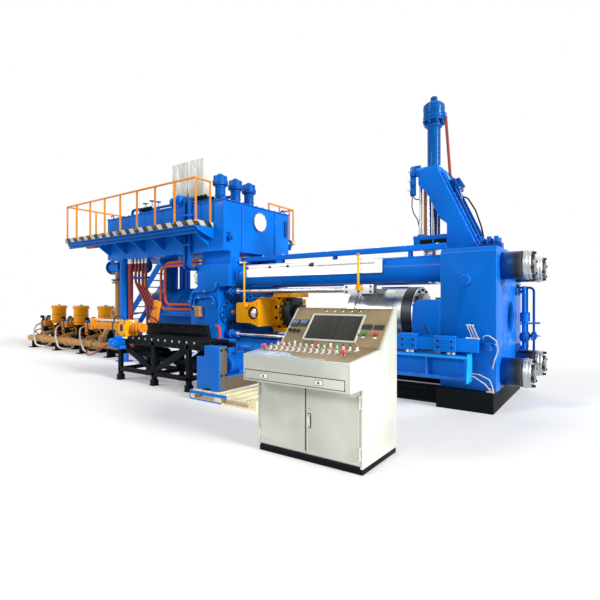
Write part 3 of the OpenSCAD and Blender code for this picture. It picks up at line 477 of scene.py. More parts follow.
def soften(node, finish, width=0.006):
    bm = bmesh.new()
    bm.from_mesh(frame["nodes"][node].data)
    bmesh.ops.remove_doubles(bm, verts=bm.verts, dist=2e-5)
    bmesh.ops.dissolve_limit(bm, angle_limit=math.radians(0.8), verts=bm.verts, edges=bm.edges)
    worn = bm.faces.layers.float.new("worn")
    groups = [dict.fromkeys(e for f in group for e in f.edges if len(e.link_faces) == 2
                            and e.calc_face_angle(0) > math.radians(32)) for group in lumps(bm)]
    for sharp in groups:
        made = bmesh.ops.bevel(bm, geom=[e for e in sharp if e.is_valid], offset=width, segments=2,
                               profile=0.6, affect="EDGES", clamp_overlap=True)
        for face in made["faces"]:
            face[worn] = 1.0
    mesh = bpy.data.meshes.new(node)
    bm.to_mesh(mesh)
    bm.free()
    return settle(mesh, node + "_dressed", body_of_node[node], finish, replaces=(node,))


# %% Soften every rigid solid
softened = {}
for finish, names in wears.items():
    for node in names.split():
        softened[node] = soften(node, finish, bevel_of.get(node, 0.006))
print(len(softened), "solids softened,", sum(len(o.data.polygons) for o in softened.values()), "faces")

# %% [markdown]
# ## Rules for what repeats
# Three Geometry Nodes trees do the repeating work. `screw_heads` puts a hexagon head with its washer on
# every point of a mesh, along the direction stored on that point. `pipe_run` sweeps a round section along
# lines and rounds their corners. `row_of` repeats whatever it is given at an even step. Each result is
# turned into a plain mesh, so nothing is left to evaluate later.


# %% The three trees
class Tree:
    """A Geometry Nodes tree with named inputs."""

    def __init__(self, name, inputs):
        self.tree = bpy.data.node_groups.new(name, "GeometryNodeTree")
        self.tree.interface.new_socket("Geometry", in_out="INPUT", socket_type="NodeSocketGeometry")
        for label, kind in inputs:
            self.tree.interface.new_socket(label, in_out="INPUT", socket_type="NodeSocket" + kind)
        self.tree.interface.new_socket("Geometry", in_out="OUTPUT", socket_type="NodeSocketGeometry")
        self.source = self.tree.nodes.new("NodeGroupInput")

    def node(self, kind, settings=None, out=0, **inputs):
        made = self.tree.nodes.new(kind)
        for name, value in (settings or {}).items():
            setattr(made, name, value)
        for name, value in inputs.items():
            socket = made.inputs[name.replace("_", " ")]
            if hasattr(value, "links"):
                self.tree.links.new(value, socket)
            else:
                socket.default_value = value
        return made.outputs[out]

    def given(self, label):
        return self.source.outputs[label]

    def times(self, label, share):
        """A named input, multiplied by a fixed share."""
        product = self.node("ShaderNodeMath", {"operation": "MULTIPLY"})
        self.tree.links.new(self.given(label), product.node.inputs[0])
        product.node.inputs[1].default_value = share
        return product

    def end(self, geometry):
        solid = self.node("GeometryNodeRealizeInstances", Geometry=geometry)
        coated = self.node("GeometryNodeSetMaterial", Geometry=solid, Material=self.given("Finish"))
        self.tree.links.new(coated, self.tree.nodes.new("NodeGroupOutput").inputs[0])
        return self.tree


def screw_tree():
    t = Tree("screw_heads", [("Head Width", "Float"), ("Head Height", "Float"), ("Finish", "Material")])
    washer_height = t.times("Head Height", 0.5)
    head = t.node("GeometryNodeMeshCylinder", Vertices=6, Radius=t.times("Head Width", 0.5),
                  Depth=t.given("Head Height"))
    lift = t.node("ShaderNodeCombineXYZ", Z=washer_height)
    raised = t.node("GeometryNodeTransform", Geometry=head, Translation=lift)
    washer = t.node("GeometryNodeMeshCylinder", Vertices=12, Radius=t.times("Head Width", 0.64),
                    Depth=washer_height)
    both = t.tree.nodes.new("GeometryNodeJoinGeometry")
    for part in (raised, washer):
        t.tree.links.new(part, both.inputs[0])
    facing = t.node("GeometryNodeInputNamedAttribute", {"data_type": "FLOAT_VECTOR"}, Name="facing")
    turn = t.node("FunctionNodeAlignRotationToVector", {"axis": "Z"}, Vector=facing)
    spread = t.node("GeometryNodeInstanceOnPoints", Points=t.given("Geometry"), Instance=both.outputs[0],
                    Rotation=turn)
    return t.end(spread)


def pipe_tree():
    t = Tree("pipe_run", [("Diameter", "Float"), ("Bend Radius", "Float"), ("Sides", "Int"),
                          ("Finish", "Material")])
    line = t.node("GeometryNodeMeshToCurve", Mesh=t.given("Geometry"))
    bent = t.node("GeometryNodeFilletCurve", {"mode": "POLY"}, Curve=line, Count=7,
                  Radius=t.given("Bend Radius"), Limit_Radius=True)
    section = t.node("GeometryNodeCurvePrimitiveCircle", Resolution=t.given("Sides"),
                     Radius=t.times("Diameter", 0.5))
    swept = t.node("GeometryNodeCurveToMesh", Curve=bent, Profile_Curve=section, Fill_Caps=True)
    return t.end(swept)


def row_tree():
    t = Tree("row_of", [("Count", "Int"), ("Step", "Vector"), ("Finish", "Material")])
    line = t.node("GeometryNodeMeshLine", {"mode": "OFFSET"}, Count=t.given("Count"),
                  Offset=t.given("Step"))
    spread = t.node("GeometryNodeInstanceOnPoints", Points=line, Instance=t.given("Geometry"))
    return t.end(spread)


trees = {"screws": screw_tree(), "pipes": pipe_tree(), "row": row_tree()}
print("trees:", ", ".join(t.name for t in trees.values()))


# %% Running a tree into a plain mesh
def grow(mesh, tree, values):
    """Runs a tree on a mesh and returns the result as a plain mesh."""
    carrier = bpy.data.objects.new("carrier", mesh)
    scene.collection.objects.link(carrier)
    modifier = carrier.modifiers.new("rule", "NODES")
    modifier.node_group = tree
    for item in tree.interface.items_tree:
        if item.in_out == "INPUT" and item.name in values:
            modifier[item.identifier] = values[item.name]
    graph = bpy.context.evaluated_depsgraph_get()
    result = bpy.data.meshes.new_from_object(carrier.evaluated_get(graph))
    bpy.data.objects.remove(carrier)
    return result


def screws(name, places, width, height, finish="dark_steel", body="press"):
    """Hexagon heads at (point, direction) pairs."""
    mesh = bpy.data.meshes.new(name)
    mesh.from_pydata([p for p, _ in places], [], [])
    facing = mesh.attributes.new("facing", "FLOAT_VECTOR", "POINT")
    facing.data.foreach_set("vector", [c for _, d in places for c in d])
    grown = grow(mesh, trees["screws"], {"Head Width": width, "Head Height": height,
                                         "Finish": finishes[finish].material})
    return settle(grown, name, body, finish, crease=25)


def pipes(name, runs, diameter, bend, finish, slot=None, replaces=(), sides=14):
    """Round pipes along polylines, with rounded corners."""
    mesh = bpy.data.meshes.new(name)
    points, lines = [], []
    for run in runs:
        lines += [(len(points) + k, len(points) + k + 1) for k in range(len(run) - 1)]
        points += [tuple(p) for p in run]
    mesh.from_pydata(points, lines, [])
    grown = grow(mesh, trees["pipes"], {"Diameter": diameter, "Bend Radius": bend, "Sides": sides,
                                        "Finish": finishes[finish].material})
    return settle(grown, name, "press", finish, slot, replaces, crease=50)


def row(name, form, count, step, finish):
    """One form repeated at an even step."""
    mesh = bpy.data.meshes.new(name)
    bmesh.ops.recalc_face_normals(form.bm, faces=form.bm.faces)
    form.bm.to_mesh(mesh)
    form.bm.free()
    grown = grow(mesh, trees["row"], {"Count": count, "Step": step, "Finish": finishes[finish].material})
    return settle(grown, name, "press", finish)


def circle(centre, direction, diameter, count, start=0.0):
    """(point, direction) pairs round a bolt circle."""
    place = Matrix.Translation(centre) @ frame_along(direction)
    return [(place @ Vector((diameter / 2 * math.cos(start + 2 * math.pi * k / count),
                             diameter / 2 * math.sin(start + 2 * math.pi * k / count), 0)),
             Vector(direction)) for k in range(count)]


print("screws, pipes and rows can be grown")

# %% [markdown]
# ## Tie rods and platens
# Four sleeved rods hold the two platens together. Their nuts are dark turned blocks with a bright locking
# plate and studs at the end. Both platens carry bolted glands, pipes on clamps and a group of valves. They
# are shaped with the forms above, and the bolt circles come from the screw tree.

# %% Locking plates and studs on the nuts
ROD_Y, ROD_LOW, ROD_HIGH, AXIS = 0.555, 0.49, 1.89, 1.19
FRONT_LEFT, FRONT_RIGHT, MAIN_RIGHT, REAR_NUTS = -0.33, 0.38, -4.57, -5.165
RETURN_Y, GUIDE_Y, GUIDE_Z = 0.65, 0.72, 0.41
plates, studs = Form(), []
for y in (-ROD_Y, ROD_Y):
    for z in (ROD_LOW, ROD_HIGH):
        for face, side, length in ((FRONT_RIGHT, 1, 0.35), (REAR_NUTS, -1, 0.29)):
            outer = face + side * length
            plates.ring((outer - side * 0.085, y, z), (side, 0, 0), 0.388, 0.34, 0.05, edge=0.008)
            plates.ring((outer - side * 0.045, y, z), (side, 0, 0), 0.372, 0.243, 0.052, edge=0.008)
            studs += circle((outer + side * 0.007, y, z), (side, 0, 0), 0.315, 6, 0.3)
plates.piece("nut_locking_plates", "bright_steel")
screws("nut_studs", studs, 0.036, 0.04, "dark_steel")
print(len(studs), "studs on eight nuts")


# %% Valve groups
def valve_group(name, corner, count, pitch=0.09, coil="black_paint"):
    """A manifold with valves across it: a block, valve bodies, coils and screws."""
    block, coils, heads = Form(), Form(), []

    def at(x, y, z):
        return corner[0] + x, corner[1] + y, corner[2] + z

    def add(form, low, high, edge):
        a, b = at(*low), at(*high)
        form.block([min(p) for p in zip(a, b)], [max(p) for p in zip(a, b)], edge)

    length = pitch * count + 0.03
    add(block, (0, -0.08, -0.004), (length, 0.08, 0.075), 0.006)
    for k in range(count):
        x = 0.015 + pitch * (k + 0.5)
        add(block, (x - 0.033, -0.062, 0.072), (x + 0.033, 0.062, 0.135), 0.005)
        for s in (-1, 1):
            coils.rod(at(x, s * 0.06, 0.105), at(x, s * 0.14, 0.105), 0.046, 16)
            add(coils, (x - 0.026, s * 0.075, 0.085), (x + 0.026, s * 0.125, 0.158), 0.005)
        heads += [(at(x + a, b, 0.135), UP) for a in (-0.022, 0.022) for b in (-0.045, 0.045)]
    block.piece(name + "_manifold", "dark_blue")
    coils.piece(name + "_coils", coil)
    screws(name + "_screws", heads, 0.014, 0.01, "bright_steel")


valve_group("platen_valves", (0.075, -0.50, 2.13), 3, coil="blue_paint")
print("valves on the front platen")

# %% Bolted glands
glands, heads = Form(), []
glands.ring((MAIN_RIGHT - 0.004, 0, AXIS), RIGHT, 0.74, 0.535, 0.10, 64, 0.012)
heads += circle((MAIN_RIGHT + 0.096, 0, AXIS), RIGHT, 0.66, 16)
for s in (-1, 1):
    glands.ring((MAIN_RIGHT - 0.004, s * RETURN_Y, AXIS), RIGHT, 0.50, 0.21, 0.052, 48, 0.01)
    glands.ring((MAIN_RIGHT + 0.04, s * RETURN_Y, AXIS), RIGHT, 0.30, 0.19, 0.06, 40, 0.008)
    heads += circle((MAIN_RIGHT + 0.048, s * RETURN_Y, AXIS), RIGHT, 0.42, 12)
glands.piece("gland_flanges", "blue_paint")
screws("gland_screws", heads, 0.04, 0.028)
small = [p for s in (-1, 1) for t in (-1, 1)
         for p in circle((MAIN_RIGHT + 0.18, s * GUIDE_Y, AXIS + t * GUIDE_Z), RIGHT, 0.148, 8)]
screws("small_gland_screws", small, 0.017, 0.012, "bright_steel")
screws("side_boss_screws", [p for s in (-1, 1) for p in circle((0, s * 0.97, 1.70), (0, s, 0), 0.094, 6)],
       0.017, 0.010, "blue_paint")
wipers = Form()
for s in (-1, 1):
    wipers.ring((MAIN_RIGHT + 0.125, s * RETURN_Y, AXIS), RIGHT, 0.13, 0.073, 0.02, 32)
    for t in (-1, 1):
        wipers.ring((MAIN_RIGHT + 0.325, s * GUIDE_Y, AXIS + t * GUIDE_Z), RIGHT, 0.112, 0.067, 0.018, 32)
wipers.piece("rod_wipers", "bright_steel")
print("glands bolted on with", len(heads) + len(small), "screws")

# %% Exit ring, platen pipes and the terminal box
exit_ring = Form()
exit_ring.ring((FRONT_RIGHT - 0.006, 0, AXIS), RIGHT, 0.47, 0.436, 0.014, 64, 0.003)
exit_ring.ring((FRONT_LEFT + 0.01, 0, AXIS), RIGHT, 0.428, 0.36, 0.02, 64, 0.006)
exit_ring.piece("exit_ring", "blue_paint")
liner = Form()
liner.ring((FRONT_LEFT + 0.03, 0, AXIS), RIGHT, 0.432, 0.40, FRONT_RIGHT - FRONT_LEFT - 0.06, 64, 0.004)
liner.piece("exit_liner", "dark_blue")
pipes("platen_pipes", [[(-5.31, -0.90, 1.24), (-5.31, -0.955, 1.24), (-5.31, -0.955, 1.52),
                        (-5.24, -0.955, 1.58), (-4.72, -0.955, 1.60), (-4.62, -0.955, 1.66),
                        (-4.62, -0.955, 1.76), (-4.62, -0.91, 1.76)],
                       [(-5.22, -0.90, 1.14), (-5.22, -0.955, 1.14), (-5.22, -0.955, 1.42),
                        (-5.15, -0.955, 1.47), (-4.74, -0.955, 1.49), (-4.66, -0.955, 1.44),
                        (-4.66, -0.955, 1.28), (-4.66, -0.91, 1.28)]], 0.046, 0.06, "blue_paint")
CLAMPS = ((-5.31, 1.40), (-5.22, 1.30), (-5.05, 1.475), (-4.90, 1.595), (-4.66, 1.36))
clamps = Form()
for x, z in CLAMPS:
    clamps.block((x - 0.034, -0.985, z - 0.034), (x + 0.034, -0.914, z + 0.034), 0.006)
clamps.piece("pipe_clamps", "dark_blue")
screws("pipe_clamp_screws", [((x, -0.985, z), FRONT) for x, z in CLAMPS], 0.022, 0.014, "bright_steel")
box = Form()
box.block((-5.16, -1.0, 1.10), (-5.02, -0.914, 1.30), 0.008)
box.block((-5.165, -1.008, 1.23), (-5.015, -0.995, 1.305), 0.005)
box.piece("terminal_box", "ochre_paint")
pipes("platen_red_line", [[(-4.62, -0.90, 0.93), (-4.62, -0.97, 0.93), (-4.49, -0.97, 0.93),
                           (-4.49, -0.97, 0.54), (-4.49, -0.90, 0.54)]], 0.052, 0.06, "orange_hose",
      "red_hose")
print("pipes on the main platen")

# %% [markdown]
# ## Crosshead, container and scale
# The amber crosshead carries the stem. Dark screws ring its flange, and a chrome nut fills each pocket. The
# container is a bright drum with a bright ring at one end and a dark one at the other, heater plugs and
# bolted lugs. The white scale board has plain marks at an even step, which the row tree repeats, and a thin
# rod on clips.

# %% Crosshead screws and pocket nuts
POCKET_X = -3.82
rim = [(Vector((-3.60, 0.37 * math.cos(a), AXIS + 0.37 * math.sin(a))), (0, math.cos(a), math.sin(a)))
       for a in (math.radians(15 + 30 * k) for k in range(12))]
screws("crosshead_rim_screws", rim, 0.042, 0.03, "black_paint", body="crosshead")
face = [p for p in circle((-3.55, 0, AXIS), RIGHT, 0.64, 16) if abs(p[0].z - AXIS) < 0.24]
face += [((-3.40, y, AXIS + z), RIGHT) for y in (-0.17, 0.17) for z in (-0.17, 0.17)]
screws("crosshead_face_screws", face, 0.034, 0.024, body="crosshead")
nuts = Form()
for s in (-1, 1):
    nuts.turned((POCKET_X, s * 0.70, AXIS), (0, s, 0), [(0, 0.088), (0.04, 0.088), (0.048, 0.080),
            (0.048, 0.058), (0.066, 0.058), (0.074, 0.050), (0.074, 0.028), (0.086, 0.028), (0.09, 0.022)],
            32)
nuts.piece("pocket_nuts", "chrome", body="crosshead")
collars, pockets = Form(), Form()
for s in (-1, 1):
    collars.ring((POCKET_X, s * 0.768, AXIS), (0, s, 0), 0.272, 0.236, 0.014, 40, 0.005)
    pockets.ring((POCKET_X, s * 0.768, AXIS), (0, s, 0), 0.24, 0.186, 0.016, 40, 0.002)
# the black rings round the pocket nuts stand in for the dark of the pockets: painted shade
pockets.piece("pocket_shade_rings", "black_paint", body="crosshead")
collars.ring((-4.262, 0, AXIS), RIGHT, 0.60, 0.524, 0.014, 48, 0.004)
collars.piece("pocket_collars", "amber_paint", body="crosshead")
print("crosshead screwed together")

# %% Stem holder and pointer tips
holder = Form()
holder.ring((-3.545, 0, AXIS), RIGHT, 0.52, 0.46, 0.05, 48, 0.006)
for s in (-1, 1):
    holder.block((-3.53, -0.16, AXIS + s * 0.245 - 0.035), (-3.36, 0.16, AXIS + s * 0.245 + 0.035), 0.006)
    holder.block((-3.53, s * 0.245 - 0.035, AXIS - 0.13), (-3.36, s * 0.245 + 0.035, AXIS + 0.13), 0.006)
holder.ring((-3.285, 0, AXIS), RIGHT, 0.27, 0.186, 0.03, 40, 0.006)
holder.ring((-2.122, 0, AXIS), RIGHT, 0.196, 0.14, 0.03, 40, 0.008)
holder.piece("stem_clamp", "dark_steel", body="crosshead")
for body, x, name in (("crosshead", -4.0, "crosshead_tip"), ("container", -1.63, "container_tip")):
    tip = Form()
    tip.turned((x, -0.82, 2.118), UP, [(0, 0.019), (0.002, 0.024), (0.03, 0.024), (0.034, 0.019)], 16)
    tip.ring((x, -0.82, 1.46 if body == "crosshead" else 1.66), UP, 0.056, 0.03, 0.03, 20)
    tip.piece(name, "orange_paint", body=body)
print("stem clamp and pointer tips")

# %% Container rings, bands, plugs and lug screws
near, far = Form(), Form()
near.ring((-2.05, 0, AXIS), RIGHT, 0.90, 0.20, 0.15, 72, 0.012)
near.ring((-0.93, 0, AXIS), RIGHT, 0.896, 0.20, 0.031, 72, 0.006)
near.ring((-0.90, 0, AXIS), RIGHT, 0.68, 0.20, 0.06, 64, 0.01)
near.piece("container_bright_rings", "bright_steel", body="container")
far.ring((-1.10, 0, AXIS), RIGHT, 0.90, 0.20, 0.171, 72, 0.012)
far.piece("container_dark_ring", "dark_steel", replaces=("container_rings",), body="container")
bands, plugs, heads = Form(), Form(), []
for x in (-1.86, -1.56, -1.27):
    bands.ring((x, 0, AXIS), RIGHT, 0.874, 0.85, 0.022, 64, 0.003)
bands.ring((-2.06, 0, AXIS), RIGHT, 0.44, 0.21, 0.014, 56, 0.004)
bands.piece("container_bands", "bright_steel", body="container")
for k in range(6):
    a = math.radians(200 + 28 * k)
    base = Vector((-1.72, 0.43 * math.cos(a), AXIS + 0.43 * math.sin(a)))
    plugs.turned(base, (0, math.cos(a), math.sin(a)), [(-0.01, 0.034), (0.012, 0.034), (0.016, 0.024),
            (0.05, 0.024), (0.054, 0.018)], 12)
plugs.piece("heater_plugs", "black_paint", body="container")
for s in (-1, 1):
    for t in (-1, 1):
        heads += [((x, s * 0.78, AXIS + t * GUIDE_Z + dz), (0, s, 0)) for x in (-1.86, -1.65, -1.44)
                  for dz in (-0.04, 0.04)]
screws("lug_screws", heads, 0.028, 0.018, body="container")
ring_heads = circle((-2.05, 0, AXIS), LEFT, 0.78, 16) + circle((-0.90, 0, AXIS), RIGHT, 0.80, 16)
screws("container_ring_screws", ring_heads, 0.036, 0.022, body="container")
stubs = Form()
for s in (-1, 1):
    for t in (-1, 1):
        stubs.ring((-1.93, s * GUIDE_Y, AXIS + t * GUIDE_Z), RIGHT, 0.116, 0.065, 0.024, 24, 0.005)
stubs.piece("container_rod_nuts", "bright_steel", body="container")
print("container dressed")

# %% Scale marks and rod on the board
mark = Form()
mark.block((-2.42, -0.7775, 1.985), (-2.416, -0.7745, 2.035), 0)
row("scale_marks_tall", mark, 24, (0.045, 0, 0), "dark_steel")
mark = Form()
mark.block((-2.43, -0.7775, 1.985), (-2.4275, -0.7745, 2.008), 0)
row("scale_marks_short", mark, 118, (0.009, 0, 0), "dark_steel")
mark = Form()
mark.block((-3.90, -0.7775, 1.90), (-3.897, -0.7745, 1.922), 0)
row("scale_marks_low", mark, 52, (0.05, 0, 0), "dark_steel")
rod, clips = Form(), Form()
rod.rod((-3.975, -0.7845, 2.017), (-2.52, -0.7845, 2.017), 0.016, 12, 0.002)
rod.piece("scale_rod", "bright_steel")
for x in (-3.95, -3.42, -3.02, -2.55):
    clips.block((x - 0.018, -0.796, 1.995), (x + 0.018, -0.774, 2.039), 0.003)
clips.block((-2.545, -0.796, 1.99), (-2.48, -0.774, 2.05), 0.004)
clips.piece("scale_clips", "dark_steel")
frame_strip = Form()
frame_strip.block((-3.988, -0.781, 2.058), (-1.25, -0.762, 2.075), 0.003)
frame_strip.block((-3.988, -0.781, 1.845), (-1.25, -0.762, 1.858), 0.003)
frame_strip.piece("board_edges", "bright_steel")
print("scale board marked")

# %% Cables in the tray
dice = random.Random(7)


def slack(x_from, x_to, y, z, wave, count):
    """A cable lying in a tray: nearly straight, with small seeded waves."""
    return [(x_from + (x_to - x_from) * k / count, y + dice.uniform(-wave, wave), z + dice.uniform(0, wave))
            for k in range(count + 1)]


for name, finish, slot, lanes in (("tray_cables_dark", "black_rubber", "black_paint",
                                   (-0.618, -0.585, -0.56)),
                                  ("tray_cables_pale", "white_hose", None, (-0.602, -0.571))):
    pipes(name, [slack(-4.2, -0.37, y, 2.197, 0.007, 26) for y in lanes], 0.024, 0.05, finish, slot,
          sides=10)
straps = Form()
straps.block((-4.16, -0.656, 2.236), (-4.12, -0.534, 2.2445), 0.002)
straps.block((-4.16, -0.546, 2.17), (-4.12, -0.536, 2.244), 0.002)
row("tray_straps", straps, 9, (0.46, 0, 0), "bright_steel")
print("tray cables laid")

# %% [markdown]
# ## Die shear
# The shear's cylinder stands on a sloping gallows. Heavy nuts hang under its head, a red hose runs down to
# a valve on the slope, and a black hose loops over to the platen. Points on the slope are easiest to give
# as a distance down it and a height off it, so a small helper turns those into places on the machine.

# %% The slope as a frame
SLOPE = Matrix(((0.4233, 0, 0.906), (0, 1, 0), (-0.906, 0, 0.4233)))


def on_slope(down, y, off):
    return Vector((-0.530, y, 3.380)) + SLOPE @ Vector((down, 0, off))


liner, ribs = Form(), Form()
liner.slab(on_slope(0.70, 0, 0.003), (1.30, 0.62, 0.016), SLOPE, 0.004)
for y in (-0.31, 0.31):
    ribs.slab(on_slope(0.70, y, 0.014), (1.32, 0.026, 0.036), SLOPE, 0.004)
for down in (0.42, 0.78, 1.12):
    ribs.slab(on_slope(down, 0, 0.014), (0.03, 0.60, 0.03), SLOPE, 0.004)
liner.piece("slope_liner", "dark_blue")
ribs.piece("slope_ribs", "blue_paint")
screws("slope_screws", [(on_slope(0.12 + 0.16 * k, y, 0.010), SLOPE @ Vector(UP))
                                 for k in range(8) for y in (-0.265, 0.265)], 0.026, 0.018, "dark_steel")
print("slope lined")

# %% Shear cylinder fittings
SHEAR_X = -0.72
screws("shear_head_nuts", circle((SHEAR_X, 0, 4.242), DOWN, 0.285, 8, 0.2), 0.052, 0.05, "dark_blue")
screws("shear_foot_nuts", circle((SHEAR_X, 0, 3.478), UP, 0.25, 8, 0.2), 0.038, 0.034, "bright_steel")
trim = Form()
for z, outer, inner in ((4.30, 0.336, 0.31), (4.43, 0.336, 0.31), (4.155, 0.25, 0.19)):
    trim.ring((SHEAR_X, 0, z), UP, outer, inner, 0.016, 48, 0.003)
trim.block((-0.77, -0.022, 4.52), (-0.67, 0.022, 4.63), 0.01)
trim.block((-0.60, -0.05, 4.27), (-0.53, 0.05, 4.35), 0.008)
trim.piece("shear_cylinder_trim", "blue_paint")
pipes("shear_red_hose", [[(-0.575, 0, 4.31), (-0.535, 0, 4.31), (-0.525, 0, 4.14), (-0.465, 0, 3.34),
                          (-0.43, 0, 3.24)]], 0.044, 0.05, "red_hose")
valve = Form()
valve.slab(on_slope(0.25, 0, 0.052), (0.20, 0.22, 0.10), SLOPE, 0.008)
valve.slab(on_slope(0.21, 0.0, 0.125), (0.09, 0.12, 0.06), SLOPE, 0.006)
valve.slab(on_slope(0.30, -0.03, 0.13), (0.07, 0.09, 0.07), SLOPE, 0.006)
valve.piece("slope_valve", "dark_blue")
# the plate at the top of the slope is in the pale blue: painted light on a face turned to the key lamp
plate = Form()
plate.slab(on_slope(0.09, 0, 0.022), (0.13, 0.34, 0.03), SLOPE, 0.006)
plate.piece("slope_plate", "light_blue")
screws("slope_valve_screws", [(on_slope(0.25 + a, b, 0.102), SLOPE @ Vector(UP)) for a in (-0.08, 0.08)
                              for b in (-0.09, 0.09)], 0.022, 0.016, "bright_steel")
pipes("slope_pipes", [[on_slope(0.30, y, 0.05), on_slope(0.36, y, 0.05), on_slope(1.20, y, 0.035),
                       (0.04, y, 2.22), (0.09, y, 2.20), (0.09, y, 2.12)] for y in (-0.17, -0.11, 0.10)],
      0.032, 0.05, "dark_blue")
pipes("slope_black_hose", [[on_slope(0.46, -0.03, 0.0), on_slope(0.45, -0.03, 0.10), (-0.19, -0.03, 2.95),
                            (-0.086, -0.03, 2.77), (-0.005, -0.03, 2.52), (0.04, -0.03, 2.30),
                            (0.10, -0.03, 2.20), (0.10, -0.03, 2.11)]], 0.024, 0.16, "black_rubber",
      "black_paint")
pipes("slope_grey_cable", [[on_slope(0.30, -0.05, 0.16), (-0.33, -0.05, 3.18), (-0.30, -0.05, 3.08),
                            (-0.27, -0.05, 2.95), on_slope(0.50, -0.05, 0.008)]], 0.014, 0.05, "white_hose")
print("shear cylinder piped")

# %% Columns, guide slots and the limit switches
columns = Form()
for y in (-0.295, 0.295):
    columns.rod((-0.83, y, 2.405), (-0.83, y, 3.382), 0.052, 24)
columns.piece("guide_columns", "chrome")
greased = Form()
for y in (-0.158, 0.158):
    greased.rod((-0.805, y, 2.405), (-0.805, y, 3.382), 0.05, 24)
greased.piece("greased_columns", "ochre_paint")
stays = Form()
stays.rod((-0.80, 0.05, 2.405), (-0.80, 0.05, 3.382), 0.07, 24)
for x, y in ((-0.83, -0.295), (-0.83, 0.295), (-0.805, -0.158), (-0.805, 0.158), (-0.80, 0.05)):
    stays.ring((x, y, 2.406), UP, 0.096, 0.045, 0.03, 24)
    stays.ring((x, y, 3.352), UP, 0.096, 0.045, 0.03, 24)
stays.block((-0.935, -0.338, 2.362), (-0.40, 0.338, 2.414), 0.006)
stays.piece("guide_stays", "blue_paint")
slots = Form()
for low, high in ((-0.83, -0.64), (-0.61, -0.425)):
    slots.block((low, -0.333, 2.285), (high, -0.28, 2.35), 0.002)
    slots.block((low, 0.28, 2.285), (high, 0.333, 2.35), 0.002)
slots.piece("guide_slots", "black_paint")
switch = Form()
switch.block((-0.955, -0.404, 3.02), (-0.865, -0.388, 3.46), 0.003)
switch.block((-0.90, -0.404, 3.30), (-0.82, -0.388, 3.36), 0.003)
switch.block((-0.95, -0.388, 3.44), (-0.80, -0.36, 3.48), 0.004)
for z in (3.08, 3.22, 3.36):
    switch.block((-0.945, -0.445, z - 0.04), (-0.885, -0.40, z + 0.04), 0.006)
switch.piece("limit_switch_plate", "dark_blue")
rollers = Form()
for z in (3.08, 3.22, 3.36):
    rollers.rod((-0.965, -0.424, z + 0.02), (-0.99, -0.424, z + 0.045), 0.012, 10)
    rollers.rod((-0.99, -0.434, z + 0.045), (-0.99, -0.414, z + 0.045), 0.028, 14)
    rollers.rod((-0.94, -0.424, z + 0.01), (-0.97, -0.424, z + 0.03), 0.014, 10)
rollers.piece("limit_switch_rollers", "bright_steel")
pipes("limit_switch_cable", [[(-0.915, -0.42, 3.06), (-0.915, -0.42, 2.98), (-0.925, -0.41, 2.86),
                              (-0.905, -0.39, 2.76), (-0.86, -0.34, 2.66), (-0.87, -0.24, 2.56),
                              (-0.87, -0.24, 2.40)], [(-0.90, -0.42, 3.05), (-0.89, -0.42, 2.99),
        (-0.85, -0.40, 2.95), (-0.83, -0.37, 2.97)]], 0.016, 0.04, "black_rubber", "black_paint")
print("guide columns and switches set")

# %% [markdown]
# ## Die slide and exit side
# In front of the platen a bar runs on rollers and carries the die out to the operator. Saddles, levers and
# a small valve sit on it. On the exit side two pipes come down to shut-off valves.

# %% Saddles, rollers and levers of the slide
LEVER_Y = -1.17
saddles = Form()
for low, high, top in ((-0.32, -0.04, 0.976), (-0.80, -0.555, 0.99), (-1.55, -1.25, 0.976)):
    saddles.block((low, -1.226, 0.772), (high, -1.112, top), 0.008)
    saddles.block((low + 0.03, -1.232, 0.80), (high - 0.03, -1.106, 0.94), 0.006)
saddles.block((-1.90, -1.222, 0.716), (0.10, -1.118, 0.736), 0.004)
saddles.block((-1.90, -1.236, 0.424), (0.10, -1.104, 0.442), 0.004)
saddles.piece("slide_saddles", "blue_paint")
# the slide's end plate and the strip along its top front edge are in the pale blue: a painted highlight
lid = Form()
lid.plate([(-1.29, 0.40), (-1.04, 0.40), (-1.04, 0.76), (-1.22, 0.76)], "X", 0.098, 0.116, 0.004)
lid.block((-1.9, -1.238, 0.70), (0.10, -1.228, 0.722), 0.003)
lid.piece("slide_end_plate", "light_blue")
bearings = Form()
for x in (-1.72, -1.66, -0.93, -0.87, -0.675, -0.615, -0.135, -0.075):
    bearings.turned((x, -1.128, 0.750), FRONT, [(0, 0.026), (0.088, 0.026), (0.092, 0.022), (0.092, 0.012),
                                                     (0.104, 0.012), (0.107, 0.009)], 16)
bearings.piece("slide_rollers", "chrome")
levers, pale = Form(), Form()
for k in range(3):
    levers.slab((-0.455 + 0.028 * k, LEVER_Y, 1.035), (0.014, 0.03, 0.19),
                Matrix.Rotation(math.radians(-16), 3, "Y"), 0.003)
levers.block((-0.49, -1.195, 0.945), (-0.36, -1.145, 0.97), 0.004)
levers.piece("slide_levers", "dark_blue")
for k in range(3):
    pale.slab((0.125 + 0.032 * k, LEVER_Y, 1.03), (0.010, 0.05, 0.19),
              Matrix.Rotation(math.radians(-22), 3, "Y"), 0.002)
pale.block((0.07, -1.19, 0.945), (0.235, -1.15, 0.966), 0.003)
pale.slab((0.12, LEVER_Y, 1.122), (0.10, 0.012, 0.012), Matrix.Rotation(0, 3, "Y"), 0.002)
pale.piece("slide_feelers", "bright_steel")
screws("slide_screws", [((x, -1.232, z), FRONT) for x in (-0.27, -0.09, -0.75, -0.60, -1.49, -1.31)
                                 for z in (0.83, 0.91)], 0.026, 0.016)
print("slide dressed")

